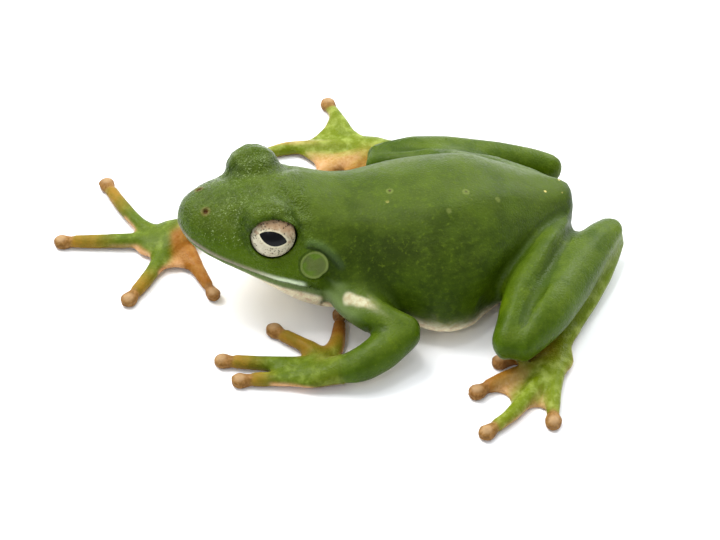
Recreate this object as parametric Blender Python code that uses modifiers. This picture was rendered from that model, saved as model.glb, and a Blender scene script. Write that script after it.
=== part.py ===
"""Green tree frog, sitting with its head raised: the solid parts of a life-size display model.

The frog faces -Y and stands on the plane z = 0. The numbers below are millimetres on the living animal,
measured from a point on the floor under the middle of the body; +X is the frog's left side.
The flesh is one body fused from lofts, then parted by thin cuts where a person would name its parts.
"""

import math

import bmesh
import bpy
from mathutils import Matrix, Vector
from mathutils.bvhtree import BVHTree

MM = 0.001
COLLECTION = "green_tree_frog"
CUTTERS = "cutters"

# How finely the flesh is fused, and how many triangles it keeps
VOXEL = 0.24 * MM
SMOOTH_TIMES = 3
FLESH_TRIANGLES = 4650
FLAT_ANGLE = math.radians(4)  # facets that meet at less than this become one
CUT = 0.3  # width of every gap between two nodes
SMALLEST_NODE = 0.3  # cubic millimetres; anything under it is a crumb of a cut
PROBE = Vector((0.31, 0.23, 0.92))  # the way a line is sent to tell which body holds a point
PROBE_STEP = 1e-6

# Head and trunk, from snout to vent. Each row is a cross-section: its place along the body, the middle of
# its width, its half width, the heights of its top, of its widest level and of its underside, and how
# square its upper and lower halves are (2 is an ellipse).
BODY_SECTIONS = (
    (-26.2, 0.0, 1.6, 14.2, 12.6, 11.4, 2.0, 2.0),
    (-25.4, 0.0, 3.3, 15.1, 12.3, 10.6, 2.0, 2.0),
    (-24.0, 0.0, 4.85, 15.8, 11.8, 9.6, 1.85, 2.0),
    (-22.0, 0.0, 6.35, 16.3, 11.2, 8.5, 1.85, 2.0),
    (-19.0, 0.0, 7.85, 16.6, 10.2, 6.9, 1.9, 2.2),
    (-16.0, 0.0, 9.05, 16.8, 9.2, 4.9, 2.0, 2.6),
    (-13.0, 0.1, 9.6, 16.6, 8.0, 2.7, 2.0, 3.2),
    (-10.0, 0.5, 9.9, 16.1, 6.8, 1.6, 1.9, 3.3),
    (-7.0, 1.0, 10.0, 15.4, 5.8, 1.4, 1.85, 2.9),
    (-4.0, 1.6, 10.5, 15.1, 5.1, 1.1, 1.85, 2.6),
    (0.0, 2.3, 12.4, 15.3, 4.3, 0.5, 1.85, 2.7),
    (4.0, 2.9, 13.8, 15.5, 3.8, -0.1, 1.85, 2.8),
    (8.0, 2.7, 13.5, 15.3, 3.8, -0.2, 1.85, 2.8),
    (12.0, 2.1, 12.1, 14.7, 4.1, -0.1, 1.85, 2.7),
    (15.5, 1.6, 10.0, 13.2, 4.4, 0.4, 1.85, 2.4),
    (19.0, 1.2, 7.5, 11.3, 4.8, 1.0, 1.9, 2.2),
    (22.2, 0.7, 5.0, 10.2, 5.3, 2.0, 2.1, 2.0),
    (23.8, 0.4, 3.4, 9.5, 5.9, 3.4, 2.3, 2.0),
    (24.7, 0.2, 2.1, 8.8, 6.2, 4.6, 2.3, 2.0),
)
SNOUT_TIP = (0.0, -26.5, 12.8)
VENT_TIP = (0.1, 25.1, 6.6)
TIP_CLOSING = 0.6  # how far the last ring at each end is drawn towards its tip
BODY_RINGS = 72
BODY_SIDES = 64

BALL_DIVISIONS = 4

# Eyes: balls that look sideways and a little up and forward out of two domes
EYE_RADIUS = 3.0
EYE_SIDES, EYE_RINGS = 20, 12
EYE_PLACE = (6.1, -15.6, 13.95)
DOME_RADII = (3.6, 3.55, 3.6)
DOME_PLACE = (4.75, -15.9, 14.8)

# Mouth: a straight line seen from the side, from under the snout tip to behind the eardrum
MOUTH_FRONT = (-27.5, 12.45)
MOUTH_SLOPE = -1 / 3
MOUTH_WIDTH = 24.0
NECK_PLACE = -10.4
NECK_MIDDLE = (0.5, NECK_PLACE, 10.0)
NECK_CUT_SIZE = (21.6, 22.0)
FLOOR_SIZE, FLOOR_DEPTH = 120.0, 10.0  # the block cut away under the floor

LEFT, RIGHT = "left", "right"
SIGNS = {LEFT: 1, RIGHT: -1}

# Limbs: each row is a point on the middle line with the half width and half height there.
UPPER_ARM = {
    LEFT: ((8.0, -6.6, 6.2, 3.4, 3.2), (12.0, -6.2, 5.95, 3.0, 2.6), (15.4, -3.9, 5.4, 2.5, 2.4),
           (17.8, -1.6, 4.8, 2.3, 2.4)),
    RIGHT: ((-4.4, -4.6, 7.0, 3.4, 3.4), (-8.6, -6.0, 5.8, 2.9, 2.9), (-12.2, -9.4, 3.9, 2.2, 2.2),
            (-13.0, -13.2, 3.2, 2.0, 2.0)),
}
FOREARM = {
    LEFT: ((17.8, -1.6, 4.8, 2.3, 2.4), (19.6, -5.2, 3.6, 2.3, 2.4), (20.2, -8.4, 2.7, 2.1, 2.0),
           (19.6, -11.0, 2.0, 1.9, 1.5)),
    RIGHT: ((-13.0, -13.2, 3.2, 2.0, 2.0), (-12.9, -17.4, 3.1, 2.1, 2.1), (-11.2, -21.6, 2.5, 1.8, 1.8),
            (-9.6, -24.6, 2.0, 1.6, 1.4)),
}
HAND = {
    LEFT: ((19.6, -11.0, 2.0, 1.9, 1.5), (18.6, -13.2, 1.4, 2.6, 1.1), (17.6, -16.0, 1.0, 2.3, 0.9)),
    RIGHT: ((-9.8, -24.6, 2.0, 2.1, 1.4), (-9.7, -26.6, 1.4, 3.1, 1.1), (-9.8, -28.6, 1.0, 2.6, 0.9)),
}
# Digits: the points of the middle line from inside the palm to the middle of the pad
FINGERS = {
    LEFT: {
        1: ((17.8, -11.6, 1.1), (14.6, -9.6, 1.0), (11.4, -8.4, 0.9), (8.8, -7.8, 0.8)),
        2: ((16.4, -11.6, 1.1), (14.2, -12.6, 1.0), (11.8, -14.8, 0.9), (9.7, -16.4, 0.8)),
        3: ((16.8, -14.6, 1.1), (15.8, -17.6, 1.0), (14.7, -20.8, 0.9), (13.6, -23.7, 0.8)),
        4: ((19.2, -14.4, 1.1), (18.6, -17.4, 1.0), (17.9, -20.0, 0.9), (17.4, -22.3, 0.8)),
    },
    RIGHT: {
        1: ((-8.2, -25.0, 1.1), (-5.4, -24.3, 1.0), (-1.8, -23.5, 0.9), (1.5, -22.7, 0.8)),
        2: ((-8.0, -27.4, 1.1), (-5.6, -28.7, 1.0), (-2.6, -30.9, 0.9), (0.0, -33.4, 0.8)),
        3: ((-10.0, -28.4, 1.1), (-10.9, -32.2, 1.0), (-11.8, -36.4, 0.9), (-12.8, -40.2, 0.8)),
        4: ((-10.9, -27.7, 1.1), (-13.7, -29.8, 1.0), (-18.0, -31.5, 0.9), (-22.8, -32.8, 0.8)),
    },
}
THIGH = {
    LEFT: ((4.6, 21.5, 5.4, 3.2, 3.3), (10.0, 18.5, 5.8, 3.3, 3.6), (16.2, 14.5, 5.5, 3.0, 3.4),
           (22.5, 11.0, 4.8, 2.6, 2.7)),
    RIGHT: ((-2.6, 20.0, 5.6, 3.6, 3.6), (-6.6, 14.8, 5.8, 3.8, 3.8), (-11.0, 8.8, 5.4, 3.3, 3.5),
            (-14.2, 3.4, 4.7, 2.5, 2.6)),
}
SHANK = {
    LEFT: ((22.8, 11.6, 4.8, 2.6, 2.7), (19.0, 15.9, 5.6, 3.5, 3.2), (12.6, 21.4, 5.0, 3.5, 3.1),
           (7.8, 25.9, 4.5, 2.9, 2.7), (5.4, 28.7, 4.0, 2.2, 2.4)),
    RIGHT: ((-14.7, 3.0, 4.6, 2.6, 2.6), (-14.1, 9.0, 4.7, 3.0, 3.0), (-12.3, 16.4, 4.4, 2.6, 2.8),
            (-10.5, 22.0, 4.1, 2.2, 2.4), (-9.1, 25.0, 3.9, 1.9, 2.1)),
}
TARSUS = {
    LEFT: ((5.6, 29.0, 3.4, 1.9, 2.0), (9.6, 26.6, 2.6, 1.8, 1.7), (14.4, 22.9, 1.8, 1.7, 1.4),
           (18.2, 19.6, 1.3, 1.55, 1.1)),
    RIGHT: ((-9.8, 25.2, 3.4, 1.9, 2.0), (-13.0, 21.0, 2.6, 1.8, 1.7), (-16.3, 15.4, 1.9, 1.6, 1.4),
            (-18.6, 10.2, 1.5, 1.5, 1.2)),
}
FOOT = {
    LEFT: ((18.2, 19.6, 1.3, 1.55, 1.1), (20.5, 17.6, 1.05, 1.7, 0.85), (23.0, 16.7, 0.9, 2.2, 0.8)),
    RIGHT: ((-18.6, 10.2, 1.5, 1.5, 1.2), (-20.3, 6.4, 1.1, 1.8, 1.0), (-22.0, 3.4, 0.9, 2.5, 0.8)),
}
TOES = {
    LEFT: {
        1: ((20.6, 17.6, 0.9), (19.4, 15.8, 0.8), (18.8, 14.0, 0.7), (18.4, 12.4, 0.6)),
        2: ((21.4, 16.6, 0.9), (21.0, 14.2, 0.8), (21.1, 12.0, 0.7), (21.4, 9.9, 0.7)),
        3: ((22.6, 16.4, 0.9), (23.8, 12.4, 0.9), (24.7, 9.0, 0.9), (25.9, 5.7, 0.8)),
        4: ((23.2, 16.4, 1.0), (27.2, 12.6, 1.0), (30.6, 8.8, 0.9), (32.7, 5.1, 0.8)),
        5: ((22.1, 17.5, 1.0), (26.0, 15.7, 1.0), (29.4, 14.4, 0.9), (32.8, 13.4, 0.8)),
    },
    RIGHT: {
        1: ((-19.6, 3.8, 0.9), (-17.8, 3.0, 0.8), (-16.2, 2.3, 0.7), (-14.8, 1.8, 0.6)),
        2: ((-20.4, 2.6, 0.9), (-18.4, 0.6, 0.8), (-16.4, -1.2, 0.8), (-14.6, -2.6, 0.7)),
        3: ((-21.2, 2.4, 0.9), (-20.0, -1.0, 0.9), (-18.0, -3.8, 0.9), (-15.8, -6.0, 0.8)),
        4: ((-22.2, 2.8, 1.0), (-23.5, -2.2, 1.0), (-24.6, -7.4, 0.9), (-24.0, -12.0, 0.8)),
        5: ((-22.2, 3.0, 1.0), (-25.4, 1.2, 1.0), (-29.2, 0.5, 0.9), (-32.8, -0.1, 0.8)),
    },
}
DIGIT_RADIUS = 0.86
DIGIT_WAIST = 0.72  # radius behind the pad
PAD_RADII = (1.3, 1.4, 0.9)
PAD_DROP = 0.1  # how far the middle of a pad lies under the digit's middle line
DIGIT_ROOT = 1.2  # thickness of a digit where it leaves the palm, against its middle
THUMB_ROOT = 1.85
SMALL_DIGIT = 0.9  # size of the first finger and first toe against the others
WEB_THICKNESS = 0.6
WEB_HEIGHT = 0.55
WEB_STEPS = 8
LINE_STEPS = 40  # how many steps a middle line is divided into
LIMB_SIDES, LIMB_STEPS = 20, 8  # sides of a limb's rings, and rings between two rows
DIGIT_SIDES, DIGIT_STEPS = 12, 6
CAP_STEPS = 4  # rings over the round end of a limb
# How far along each of the two toes a web reaches, and how far its edge is drawn back
FOOT_WEBS = (
    (1, 2, 0.7, 0.6, 0.3),
    (2, 3, 0.78, 0.55, 0.3),
    (3, 4, 0.84, 0.68, 0.17),
    (4, 5, 0.63, 0.84, 0.15),
)
HAND_WEBS = ((1, 2, 0.58, 0.5, 0.25), (2, 3, 0.42, 0.34, 0.35), (3, 4, 0.4, 0.44, 0.3))
# Shoulder cuts: a point, the way the cut faces, its length and height
SHOULDER_CUTS = {
    LEFT: ((12.6, -4.8, 6.9), (0.874, -0.486), (13.0, 10.4)),
    RIGHT: ((-9.5, -7.0, 6.2), (-1.0, -0.05), (9.5, 9.0)),
}
# Hip cuts: a line on the floor from the flank to the rump, then straight back to RUMP_END
HIP_CUTS = {LEFT: ((17.4, 6.9), (4.4, 22.8)), RIGHT: ((-12.6, 0.6), (-1.8, 17.0))}
RUMP_END = 26.0
HIP_CUT_LEVEL, HIP_CUT_HEIGHT = 6.0, 16.0
ELBOW_CUT_SIZE = (10.0, 8.0)
WRIST_CUT_SIZE = (6.0, 5.0)
ANKLE_CUT_SIZE = (5.0, 4.0)
DIGIT_CUT_SIZE = (2.6, 3.0)
FOLD_OVERHANG = 4.0  # how far a cut between two folded segments stands out past their joint
KNEE_REACH = 24.0
KNEE_CUT_HEIGHTS = (1.8, 11.5)
HEEL_CUT_ENDS = {LEFT: (19.9, 17.7, 2.1), RIGHT: (-16.8, 11.4, 2.4)}  # where tarsus and shank come apart
HEEL_CUT_WIDTH = 9.0
WRIST_CUT = 0.84  # where along the forearm, tarsus or digit its far end is parted
ANKLE_CUT = 0.97
FINGER_CUT = 0.5
TOE_CUT = 0.85

GREEN = (0.09, 0.19, 0.03, 1.0)
LIMB_GREEN = (0.13, 0.28, 0.04, 1.0)
DIGIT_TAN = (0.55, 0.36, 0.14, 1.0)
THROAT_CREAM = (0.78, 0.7, 0.45, 1.0)
EYE_GOLD = (0.68, 0.52, 0.32, 1.0)


def clear_scene():
    """Removes whatever the file holds."""
    for old in list(bpy.data.objects):
        bpy.data.objects.remove(old, do_unlink=True)


def new_collection(name):
    made = bpy.data.collections.new(name)
    bpy.context.scene.collection.children.link(made)
    return made


def material(name, colour, roughness):
    """A plain Principled material, shared by the nodes of one kind."""
    made = bpy.data.materials.get(name) or bpy.data.materials.new(name)
    made.use_nodes = True
    shader = made.node_tree.nodes["Principled BSDF"]
    shader.inputs["Base Color"].default_value = colour
    shader.inputs["Roughness"].default_value = roughness
    shader.inputs["Metallic"].default_value = 0.0
    return made


def interpolate(rows, count):
    """A smooth curve through rows of numbers (Catmull-Rom), as count rows evenly spread over them."""
    rows = [Vector(row) for row in rows]
    padded = [2 * rows[0] - rows[1], *rows, 2 * rows[-1] - rows[-2]]
    out = []
    for step in range(count):
        place = step / (count - 1) * (len(rows) - 1)
        i = min(int(place), len(rows) - 2)
        t = place - i
        before, start, end, after = padded[i : i + 4]
        out.append(
            start
            + 0.5 * t * (end - before)
            + t * t * (before - 2.5 * start + 2 * end - 0.5 * after)
            + t * t * t * (1.5 * (start - end) + 0.5 * (after - before))
        )
    return out


def loft(bm, rings):
    """Closes a row of rings, each of the same number of points, into one body with a fan at each end."""
    rows = [[bm.verts.new(point) for point in ring] for ring in rings]
    sides = len(rows[0])
    for near, far in zip(rows, rows[1:]):
        for k in range(sides):
            bm.faces.new((near[k], near[(k + 1) % sides], far[(k + 1) % sides], far[k]))
    for ring, other in ((rows[0], rings[0]), (rows[-1], rings[-1])):
        centre = bm.verts.new(sum(other, Vector()) / sides)
        for k in range(sides):
            bm.faces.new((ring[k], ring[(k + 1) % sides], centre))


def power(value, exponent):
    """A signed power, which squares or sharpens the sine and cosine of an oval."""
    return math.copysign(abs(value) ** (2 / exponent), value)


def body_ring(section):
    """One cross-section of the head or trunk."""
    y, middle, half_width, top, level, bottom, upper, lower = section
    points = []
    for k in range(BODY_SIDES):
        angle = 2 * math.pi * k / BODY_SIDES
        square = upper if math.sin(angle) > 0 else lower
        rise = top - level if math.sin(angle) > 0 else level - bottom
        x = middle + half_width * power(math.cos(angle), square)
        points.append(Vector((x, y, level + rise * power(math.sin(angle), square))))
    return points


def add_body(bm):
    """Head and trunk as one loft, closed at the snout and at the vent."""
    rings = [body_ring(section) for section in interpolate(BODY_SECTIONS, BODY_RINGS)]
    for tip, at_start in ((SNOUT_TIP, True), (VENT_TIP, False)):
        edge = rings[0] if at_start else rings[-1]
        cap = [point.lerp(Vector(tip), TIP_CLOSING) for point in edge]
        rings = [cap, *rings] if at_start else [*rings, cap]
    loft(bm, rings)


def add_ball(bm, place, radii, turn=Matrix()):
    """An ellipsoid."""
    matrix = Matrix.Translation(place) @ turn @ Matrix.Diagonal((*radii, 1))
    bmesh.ops.create_icosphere(bm, subdivisions=BALL_DIVISIONS, radius=1, matrix=matrix)


def limb_rings(stations, sides=LIMB_SIDES, steps=LIMB_STEPS):
    """Rings along a limb's middle line, with a round end at each end."""
    line = interpolate(stations, steps * (len(stations) - 1) + 1)
    cap = [step * math.pi / 2 / CAP_STEPS for step in range(1, CAP_STEPS)]
    rings = []
    for i, row in enumerate(line):
        along = (line[min(i + 1, len(line) - 1)] - line[max(i - 1, 0)]).to_3d().normalized()
        side = along.cross(Vector((0, 0, 1))).normalized()
        up = side.cross(along)
        spots = [(0, 1)]  # how far a ring is shifted along the limb and how much it is shrunk
        if i == 0:
            spots = [(-math.sin(angle), math.cos(angle)) for angle in reversed(cap)] + spots
        elif i == len(line) - 1:
            spots += [(math.sin(angle), math.cos(angle)) for angle in cap]
        for shift, shrink in spots:
            centre = row.to_3d() + along * shift * row[3]
            rings.append(
                [
                    centre
                    + side * row[3] * shrink * math.cos(2 * math.pi * k / sides)
                    + up * row[4] * shrink * math.sin(2 * math.pi * k / sides)
                    for k in range(sides)
                ]
            )
    return rings


def add_digit(bm, points, scale, root):
    """A finger or toe with a round adhesive pad, narrowest behind the pad."""
    widths = (DIGIT_RADIUS * root, DIGIT_RADIUS * (1 + root) / 2, DIGIT_RADIUS, DIGIT_WAIST)
    rows = [(*p, w * scale, min(w, DIGIT_RADIUS) * scale) for p, w in zip(points, widths)]
    loft(bm, limb_rings(rows, DIGIT_SIDES, DIGIT_STEPS))
    ahead = (Vector(points[-1]) - Vector(points[-2])).to_2d()
    turn = Matrix.Rotation(math.atan2(ahead.y, ahead.x) - math.pi / 2, 4, "Z")
    pad = (Vector(PAD_RADII) * scale).to_tuple()
    centre = Vector(points[-1]) - Vector((0, 0, PAD_DROP))
    add_ball(bm, centre, pad, turn)


def add_web(bm, first, second, reach_first, reach_second, sag):
    """The skin between two digits: a grid laid between their middle lines, thickened."""
    grid = bmesh.ops.create_grid(bm, x_segments=WEB_STEPS, y_segments=WEB_STEPS, size=0.5)["verts"]
    lines = [interpolate(points, LINE_STEPS + 1) for points in (first, second)]
    for vert in grid:
        out, across = vert.co.x + 0.5, vert.co.y + 0.5
        a = lines[0][round(LINE_STEPS * out * reach_first)]
        b = lines[1][round(LINE_STEPS * out * reach_second)]
        root = (lines[0][0] + lines[1][0]) / 2
        point = a.lerp(b, across).lerp(root, sag * out * 4 * across * (1 - across))
        vert.co = (point.x, point.y, WEB_HEIGHT)
    faces = list({face for vert in grid for face in vert.link_faces})
    bmesh.ops.recalc_face_normals(bm, faces=faces)
    bmesh.ops.solidify(bm, geom=faces, thickness=WEB_THICKNESS)


def add_hand_or_foot(bm, palm, digits, webs, first_root):
    loft(bm, limb_rings(palm))
    for number, points in digits.items():
        if number == 1:
            add_digit(bm, points, SMALL_DIGIT, first_root)
        else:
            add_digit(bm, points, 1.0, DIGIT_ROOT)
    for first, second, *shape in webs:
        add_web(bm, digits[first], digits[second], *shape)


def flesh_object(collection):
    """The whole frog without its eyes, fused, smoothed and thinned out to a faceted body."""
    bm = bmesh.new()
    add_body(bm)
    for sign in SIGNS.values():
        add_ball(bm, (sign * DOME_PLACE[0], *DOME_PLACE[1:]), DOME_RADII)
    for side in (LEFT, RIGHT):
        for limb in (UPPER_ARM, FOREARM, THIGH, SHANK, TARSUS):
            loft(bm, limb_rings(limb[side]))
        add_hand_or_foot(bm, HAND[side], FINGERS[side], HAND_WEBS, THUMB_ROOT)
        add_hand_or_foot(bm, FOOT[side], TOES[side], FOOT_WEBS, DIGIT_ROOT)
    bmesh.ops.scale(bm, vec=(MM, MM, MM), verts=bm.verts)
    bmesh.ops.recalc_face_normals(bm, faces=bm.faces)
    flesh = mesh_object("flesh", bm, collection)
    fuse = flesh.modifiers.new("fuse", "REMESH")
    fuse.mode = "VOXEL"
    fuse.voxel_size = VOXEL
    soften = flesh.modifiers.new("soften", "SMOOTH")
    soften.factor = 0.5
    soften.iterations = SMOOTH_TIMES
    made = evaluated_mesh(flesh)
    thin = flesh.modifiers.new("thin", "DECIMATE")
    thin.ratio = FLESH_TRIANGLES / sum(len(face.vertices) - 2 for face in made.polygons)
    bpy.data.meshes.remove(made)
    return flesh


def mesh_object(name, bm, collection):
    mesh = bpy.data.meshes.new(name)
    bm.to_mesh(mesh)
    bm.free()
    made = bpy.data.objects.new(name, mesh)
    collection.objects.link(made)
    return made


def evaluated_mesh(source):
    """A mesh with the object's modifiers carried out."""
    graph = bpy.context.evaluated_depsgraph_get()
    graph.update()
    return bpy.data.meshes.new_from_object(source.evaluated_get(graph))


def cutter_object(name, bm, collection):
    bmesh.ops.scale(bm, vec=(MM, MM, MM), verts=bm.verts)
    made = mesh_object(name, bm, collection)
    made.hide_render = True
    made.display_type = "WIRE"


def slab(cutters, name, centre, normal, size, along=None):
    """A cutter CUT thick, facing along normal; size is its two other sides."""
    normal = Vector(normal).normalized()
    along = Vector(along) if along else normal.orthogonal()
    along = (along - along.dot(normal) * normal).normalized()
    turn = Matrix((along, normal.cross(along), normal)).transposed().to_4x4()
    matrix = Matrix.Translation(centre) @ turn @ Matrix.Diagonal((size[0], size[1], CUT, 1))
    bm = bmesh.new()
    bmesh.ops.create_cube(bm, size=1, matrix=matrix)
    cutter_object(name, bm, cutters)


def cross_cut(cutters, name, points, share, size):
    """Parts a limb or digit square to its middle line, a share of the way along it."""
    line = interpolate([Vector(p).to_3d() for p in points], LINE_STEPS + 1)
    i = round(LINE_STEPS * share)
    along = line[min(i + 1, LINE_STEPS)] - line[max(i - 1, 0)]
    slab(cutters, name, line[i], along, size, along.cross(Vector((0, 0, 1))))


def fold_cut(cutters, name, joint, first, second, reach, low, high):
    """Parts two limb segments that lie folded side by side: an upright cut down the middle of the bend."""
    joint, first, second = (Vector(point).to_2d() for point in (joint, first, second))
    a, b = (first - joint).normalized(), (second - joint).normalized()
    along = (a + b).normalized()
    start, end = joint - along * FOLD_OVERHANG, joint + along * reach
    middle = (*((start + end) / 2), (low + high) / 2)
    slab(cutters, name, middle, (*(b - a), 0), ((end - start).length, high - low), (*along, 0))


def arm_cutters(cutters, side):
    shoulder, facing, size = SHOULDER_CUTS[side]
    slab(cutters, "shoulder_cut_" + side, shoulder, (*facing, 0), size, (facing[1], -facing[0], 0))
    arm, forearm = UPPER_ARM[side], FOREARM[side]
    elbow, above, below = (Vector(row[:3]) for row in (arm[-1], arm[1], forearm[2]))
    a, b = (above - elbow).normalized(), (below - elbow).normalized()
    slab(cutters, "elbow_cut_" + side, elbow + (a + b).normalized(), b - a, ELBOW_CUT_SIZE, a + b)
    cross_cut(cutters, "wrist_cut_" + side, forearm, WRIST_CUT, WRIST_CUT_SIZE)
    for number, points in FINGERS[side].items():
        cross_cut(cutters, f"finger_cut_{number}_{side}", points, FINGER_CUT, DIGIT_CUT_SIZE)


def leg_cutters(cutters, side):
    front, back = (Vector((*point, HIP_CUT_LEVEL)) for point in HIP_CUTS[side])
    along = back - front
    size = (along.length, HIP_CUT_HEIGHT)
    slab(cutters, "hip_cut_" + side, (front + back) / 2, (along.y, -along.x, 0), size, along)
    size = (RUMP_END - back.y, HIP_CUT_HEIGHT)
    middle = (back.x, (back.y + RUMP_END) / 2, HIP_CUT_LEVEL)
    slab(cutters, "rump_cut_" + side, middle, (1, 0, 0), size, (0, 1, 0))
    thigh, shank, tarsus = THIGH[side], SHANK[side], TARSUS[side]
    fold_cut(cutters, "knee_cut_" + side, shank[0], thigh[1], shank[3], KNEE_REACH, *KNEE_CUT_HEIGHTS)
    heel, above, below = (Vector(row[:3]) for row in (tarsus[0], shank[1], tarsus[3]))
    end = Vector(HEEL_CUT_ENDS[side])
    along = (end - heel).normalized()
    across = along.cross((above - heel).normalized() - (below - heel).normalized())
    start = heel - along * FOLD_OVERHANG
    size = ((end - start).length, HEEL_CUT_WIDTH)
    slab(cutters, "heel_cut_" + side, (start + end) / 2, across.cross(along), size, along)
    cross_cut(cutters, "ankle_cut_" + side, tarsus, ANKLE_CUT, ANKLE_CUT_SIZE)
    for number, points in TOES[side].items():
        cross_cut(cutters, f"toe_cut_{number}_{side}", points, TOE_CUT, DIGIT_CUT_SIZE)


def head_cutters(cutters):
    """The neck, the mouth and the two eye sockets."""
    slab(cutters, "neck_cut", NECK_MIDDLE, (0, 1, 0), NECK_CUT_SIZE, (1, 0, 0))
    length = NECK_PLACE - MOUTH_FRONT[0]
    middle = (0, MOUTH_FRONT[0] + length / 2, MOUTH_FRONT[1] + MOUTH_SLOPE * length / 2)
    size = (MOUTH_WIDTH, length * math.hypot(1, MOUTH_SLOPE))
    slab(cutters, "mouth_cut", middle, (0, -MOUTH_SLOPE, 1), size, (1, 0, 0))
    for side, sign in SIGNS.items():
        bm = bmesh.new()
        matrix = Matrix.Translation((sign * EYE_PLACE[0], *EYE_PLACE[1:]))
        bmesh.ops.create_uvsphere(
            bm, u_segments=EYE_SIDES, v_segments=EYE_RINGS, radius=EYE_RADIUS + CUT, matrix=matrix
        )
        cutter_object("socket_cut_" + side, bm, cutters)


def floor_cutter(cutters):
    """Everything under the floor, so that what rests there ends in small flats."""
    bm = bmesh.new()
    place = Matrix.Translation((0, 0, -FLOOR_DEPTH / 2))
    matrix = place @ Matrix.Diagonal((FLOOR_SIZE, FLOOR_SIZE, FLOOR_DEPTH, 1))
    bmesh.ops.create_cube(bm, size=1, matrix=matrix)
    cutter_object("floor_cut", bm, cutters)


def cut(target, cutter):
    step = target.modifiers.new(cutter.name, "BOOLEAN")
    step.operation = "DIFFERENCE"
    step.object = cutter
    step.solver = "EXACT"


def anchors():
    """A point inside each flesh node, in millimetres."""
    found = {"head": (0, -18, 13), "lower_jaw": (0, -16, 7.5), "trunk": (1.5, 6, 7)}
    for side in (LEFT, RIGHT):
        found["upper_arm_" + side] = Vector(UPPER_ARM[side][2][:3])
        found["forearm_" + side] = Vector(FOREARM[side][1][:3])
        found["hand_" + side] = Vector(HAND[side][1][:3])
        found["thigh_" + side] = Vector(THIGH[side][2][:3])
        found["shank_" + side] = Vector(SHANK[side][2][:3])
        found["tarsus_" + side] = Vector(TARSUS[side][2][:3])
        found["foot_" + side] = Vector(FOOT[side][1][:3])
        for number, points in FINGERS[side].items():
            found[f"finger_{number}_{side}"] = Vector(points[-1])
        for number, points in TOES[side].items():
            found[f"toe_{number}_{side}"] = Vector(points[-1])
    return {name: Vector(point) * MM for name, point in found.items()}


def loose_parts(flesh):
    """Separates the cut flesh into its closed bodies, as one object each, and removes the crumbs."""
    bpy.ops.object.select_all(action="DESELECT")
    flesh.select_set(True)
    bpy.context.view_layer.objects.active = flesh
    bpy.ops.mesh.separate(type="LOOSE")
    kept = []
    for part in list(bpy.context.selected_objects):
        bm = bmesh.new()
        bm.from_mesh(part.data)
        volume = abs(bm.calc_volume())
        bm.free()
        if volume > SMALLEST_NODE * MM**3:
            kept.append(part)
        else:
            bpy.data.objects.remove(part)
    return kept


def drop_fins(mesh):
    """Deletes stray triangles that hang on the surface by a single edge."""
    bm = bmesh.new()
    bm.from_mesh(mesh)
    fins = [face for face in bm.faces if sum(edge.is_boundary for edge in face.edges) == 2]
    bmesh.ops.delete(bm, geom=fins, context="FACES")
    bm.to_mesh(mesh)
    bm.free()


def holds(tree, point):
    """Whether a point lies inside a closed body: a line from it leaves the body an odd number of times."""
    crossings = 0
    start = point
    while True:
        hit = tree.ray_cast(start, PROBE)[0]
        if hit is None:
            return crossings % 2 == 1
        crossings += 1
        start = hit + PROBE * PROBE_STEP


def part_flesh(flesh):
    """Turns the cut flesh into one named object for each part of the body."""
    flatten = flesh.modifiers.new("flatten", "DECIMATE")
    flatten.decimate_type = "DISSOLVE"
    flatten.angle_limit = FLAT_ANGLE
    flesh.modifiers.new("triangles", "TRIANGULATE")
    flesh.data = evaluated_mesh(flesh)
    flesh.modifiers.clear()
    drop_fins(flesh.data)
    parts = loose_parts(flesh)
    places = anchors()
    nodes = {}
    for part in parts:
        corners = [vert.co for vert in part.data.vertices]
        tree = BVHTree.FromPolygons(corners, [face.vertices for face in part.data.polygons])
        names = [name for name, point in places.items() if holds(tree, point)]
        if len(names) != 1:
            spot = tuple(round(c / MM, 1) for c in corners[0])
            raise RuntimeError(f"the body at {spot} has {len(names)} names: {names}")
        part.name = names[0]
        nodes[names[0]] = part
    missing = set(places) - set(nodes)
    if missing:
        raise RuntimeError(f"no body for {sorted(missing)}")
    return nodes


def add_eyes(collection):
    made = {}
    for side, sign in SIGNS.items():
        name = "eye_" + side
        bm = bmesh.new()
        bmesh.ops.create_uvsphere(bm, u_segments=EYE_SIDES, v_segments=EYE_RINGS, radius=EYE_RADIUS * MM)
        made[name] = mesh_object(name, bm, collection)
        made[name].location = Vector((sign * EYE_PLACE[0], *EYE_PLACE[1:])) * MM
    return made


def paint(nodes):
    """Gives each node its kind's material."""
    green = material("skin_green", GREEN, 0.35)
    limb = material("limb_green", LIMB_GREEN, 0.35)
    digit = material("digit_tan", DIGIT_TAN, 0.4)
    throat = material("throat_cream", THROAT_CREAM, 0.45)
    gold = material("eye_gold", EYE_GOLD, 0.08)
    for name, node in nodes.items():
        if name.startswith("eye"):
            chosen = gold
        elif name.startswith(("finger", "toe")):
            chosen = digit
        elif name == "lower_jaw":
            chosen = throat
        elif name in ("head", "trunk"):
            chosen = green
        else:
            chosen = limb
        node.data.materials.append(chosen)


def centre_on_floor(nodes):
    """Moves the frog so that the middle of its outline on the floor is the origin."""
    bpy.context.view_layer.update()
    corners = [node.matrix_world @ Vector(c) for node in nodes.values() for c in node.bound_box]
    lows = [min(c[i] for c in corners) for i in range(3)]
    highs = [max(c[i] for c in corners) for i in range(3)]
    shift = Vector((-(lows[0] + highs[0]) / 2, -(lows[1] + highs[1]) / 2, -lows[2]))
    for node in nodes.values():
        node.location += shift
    return shift


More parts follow.
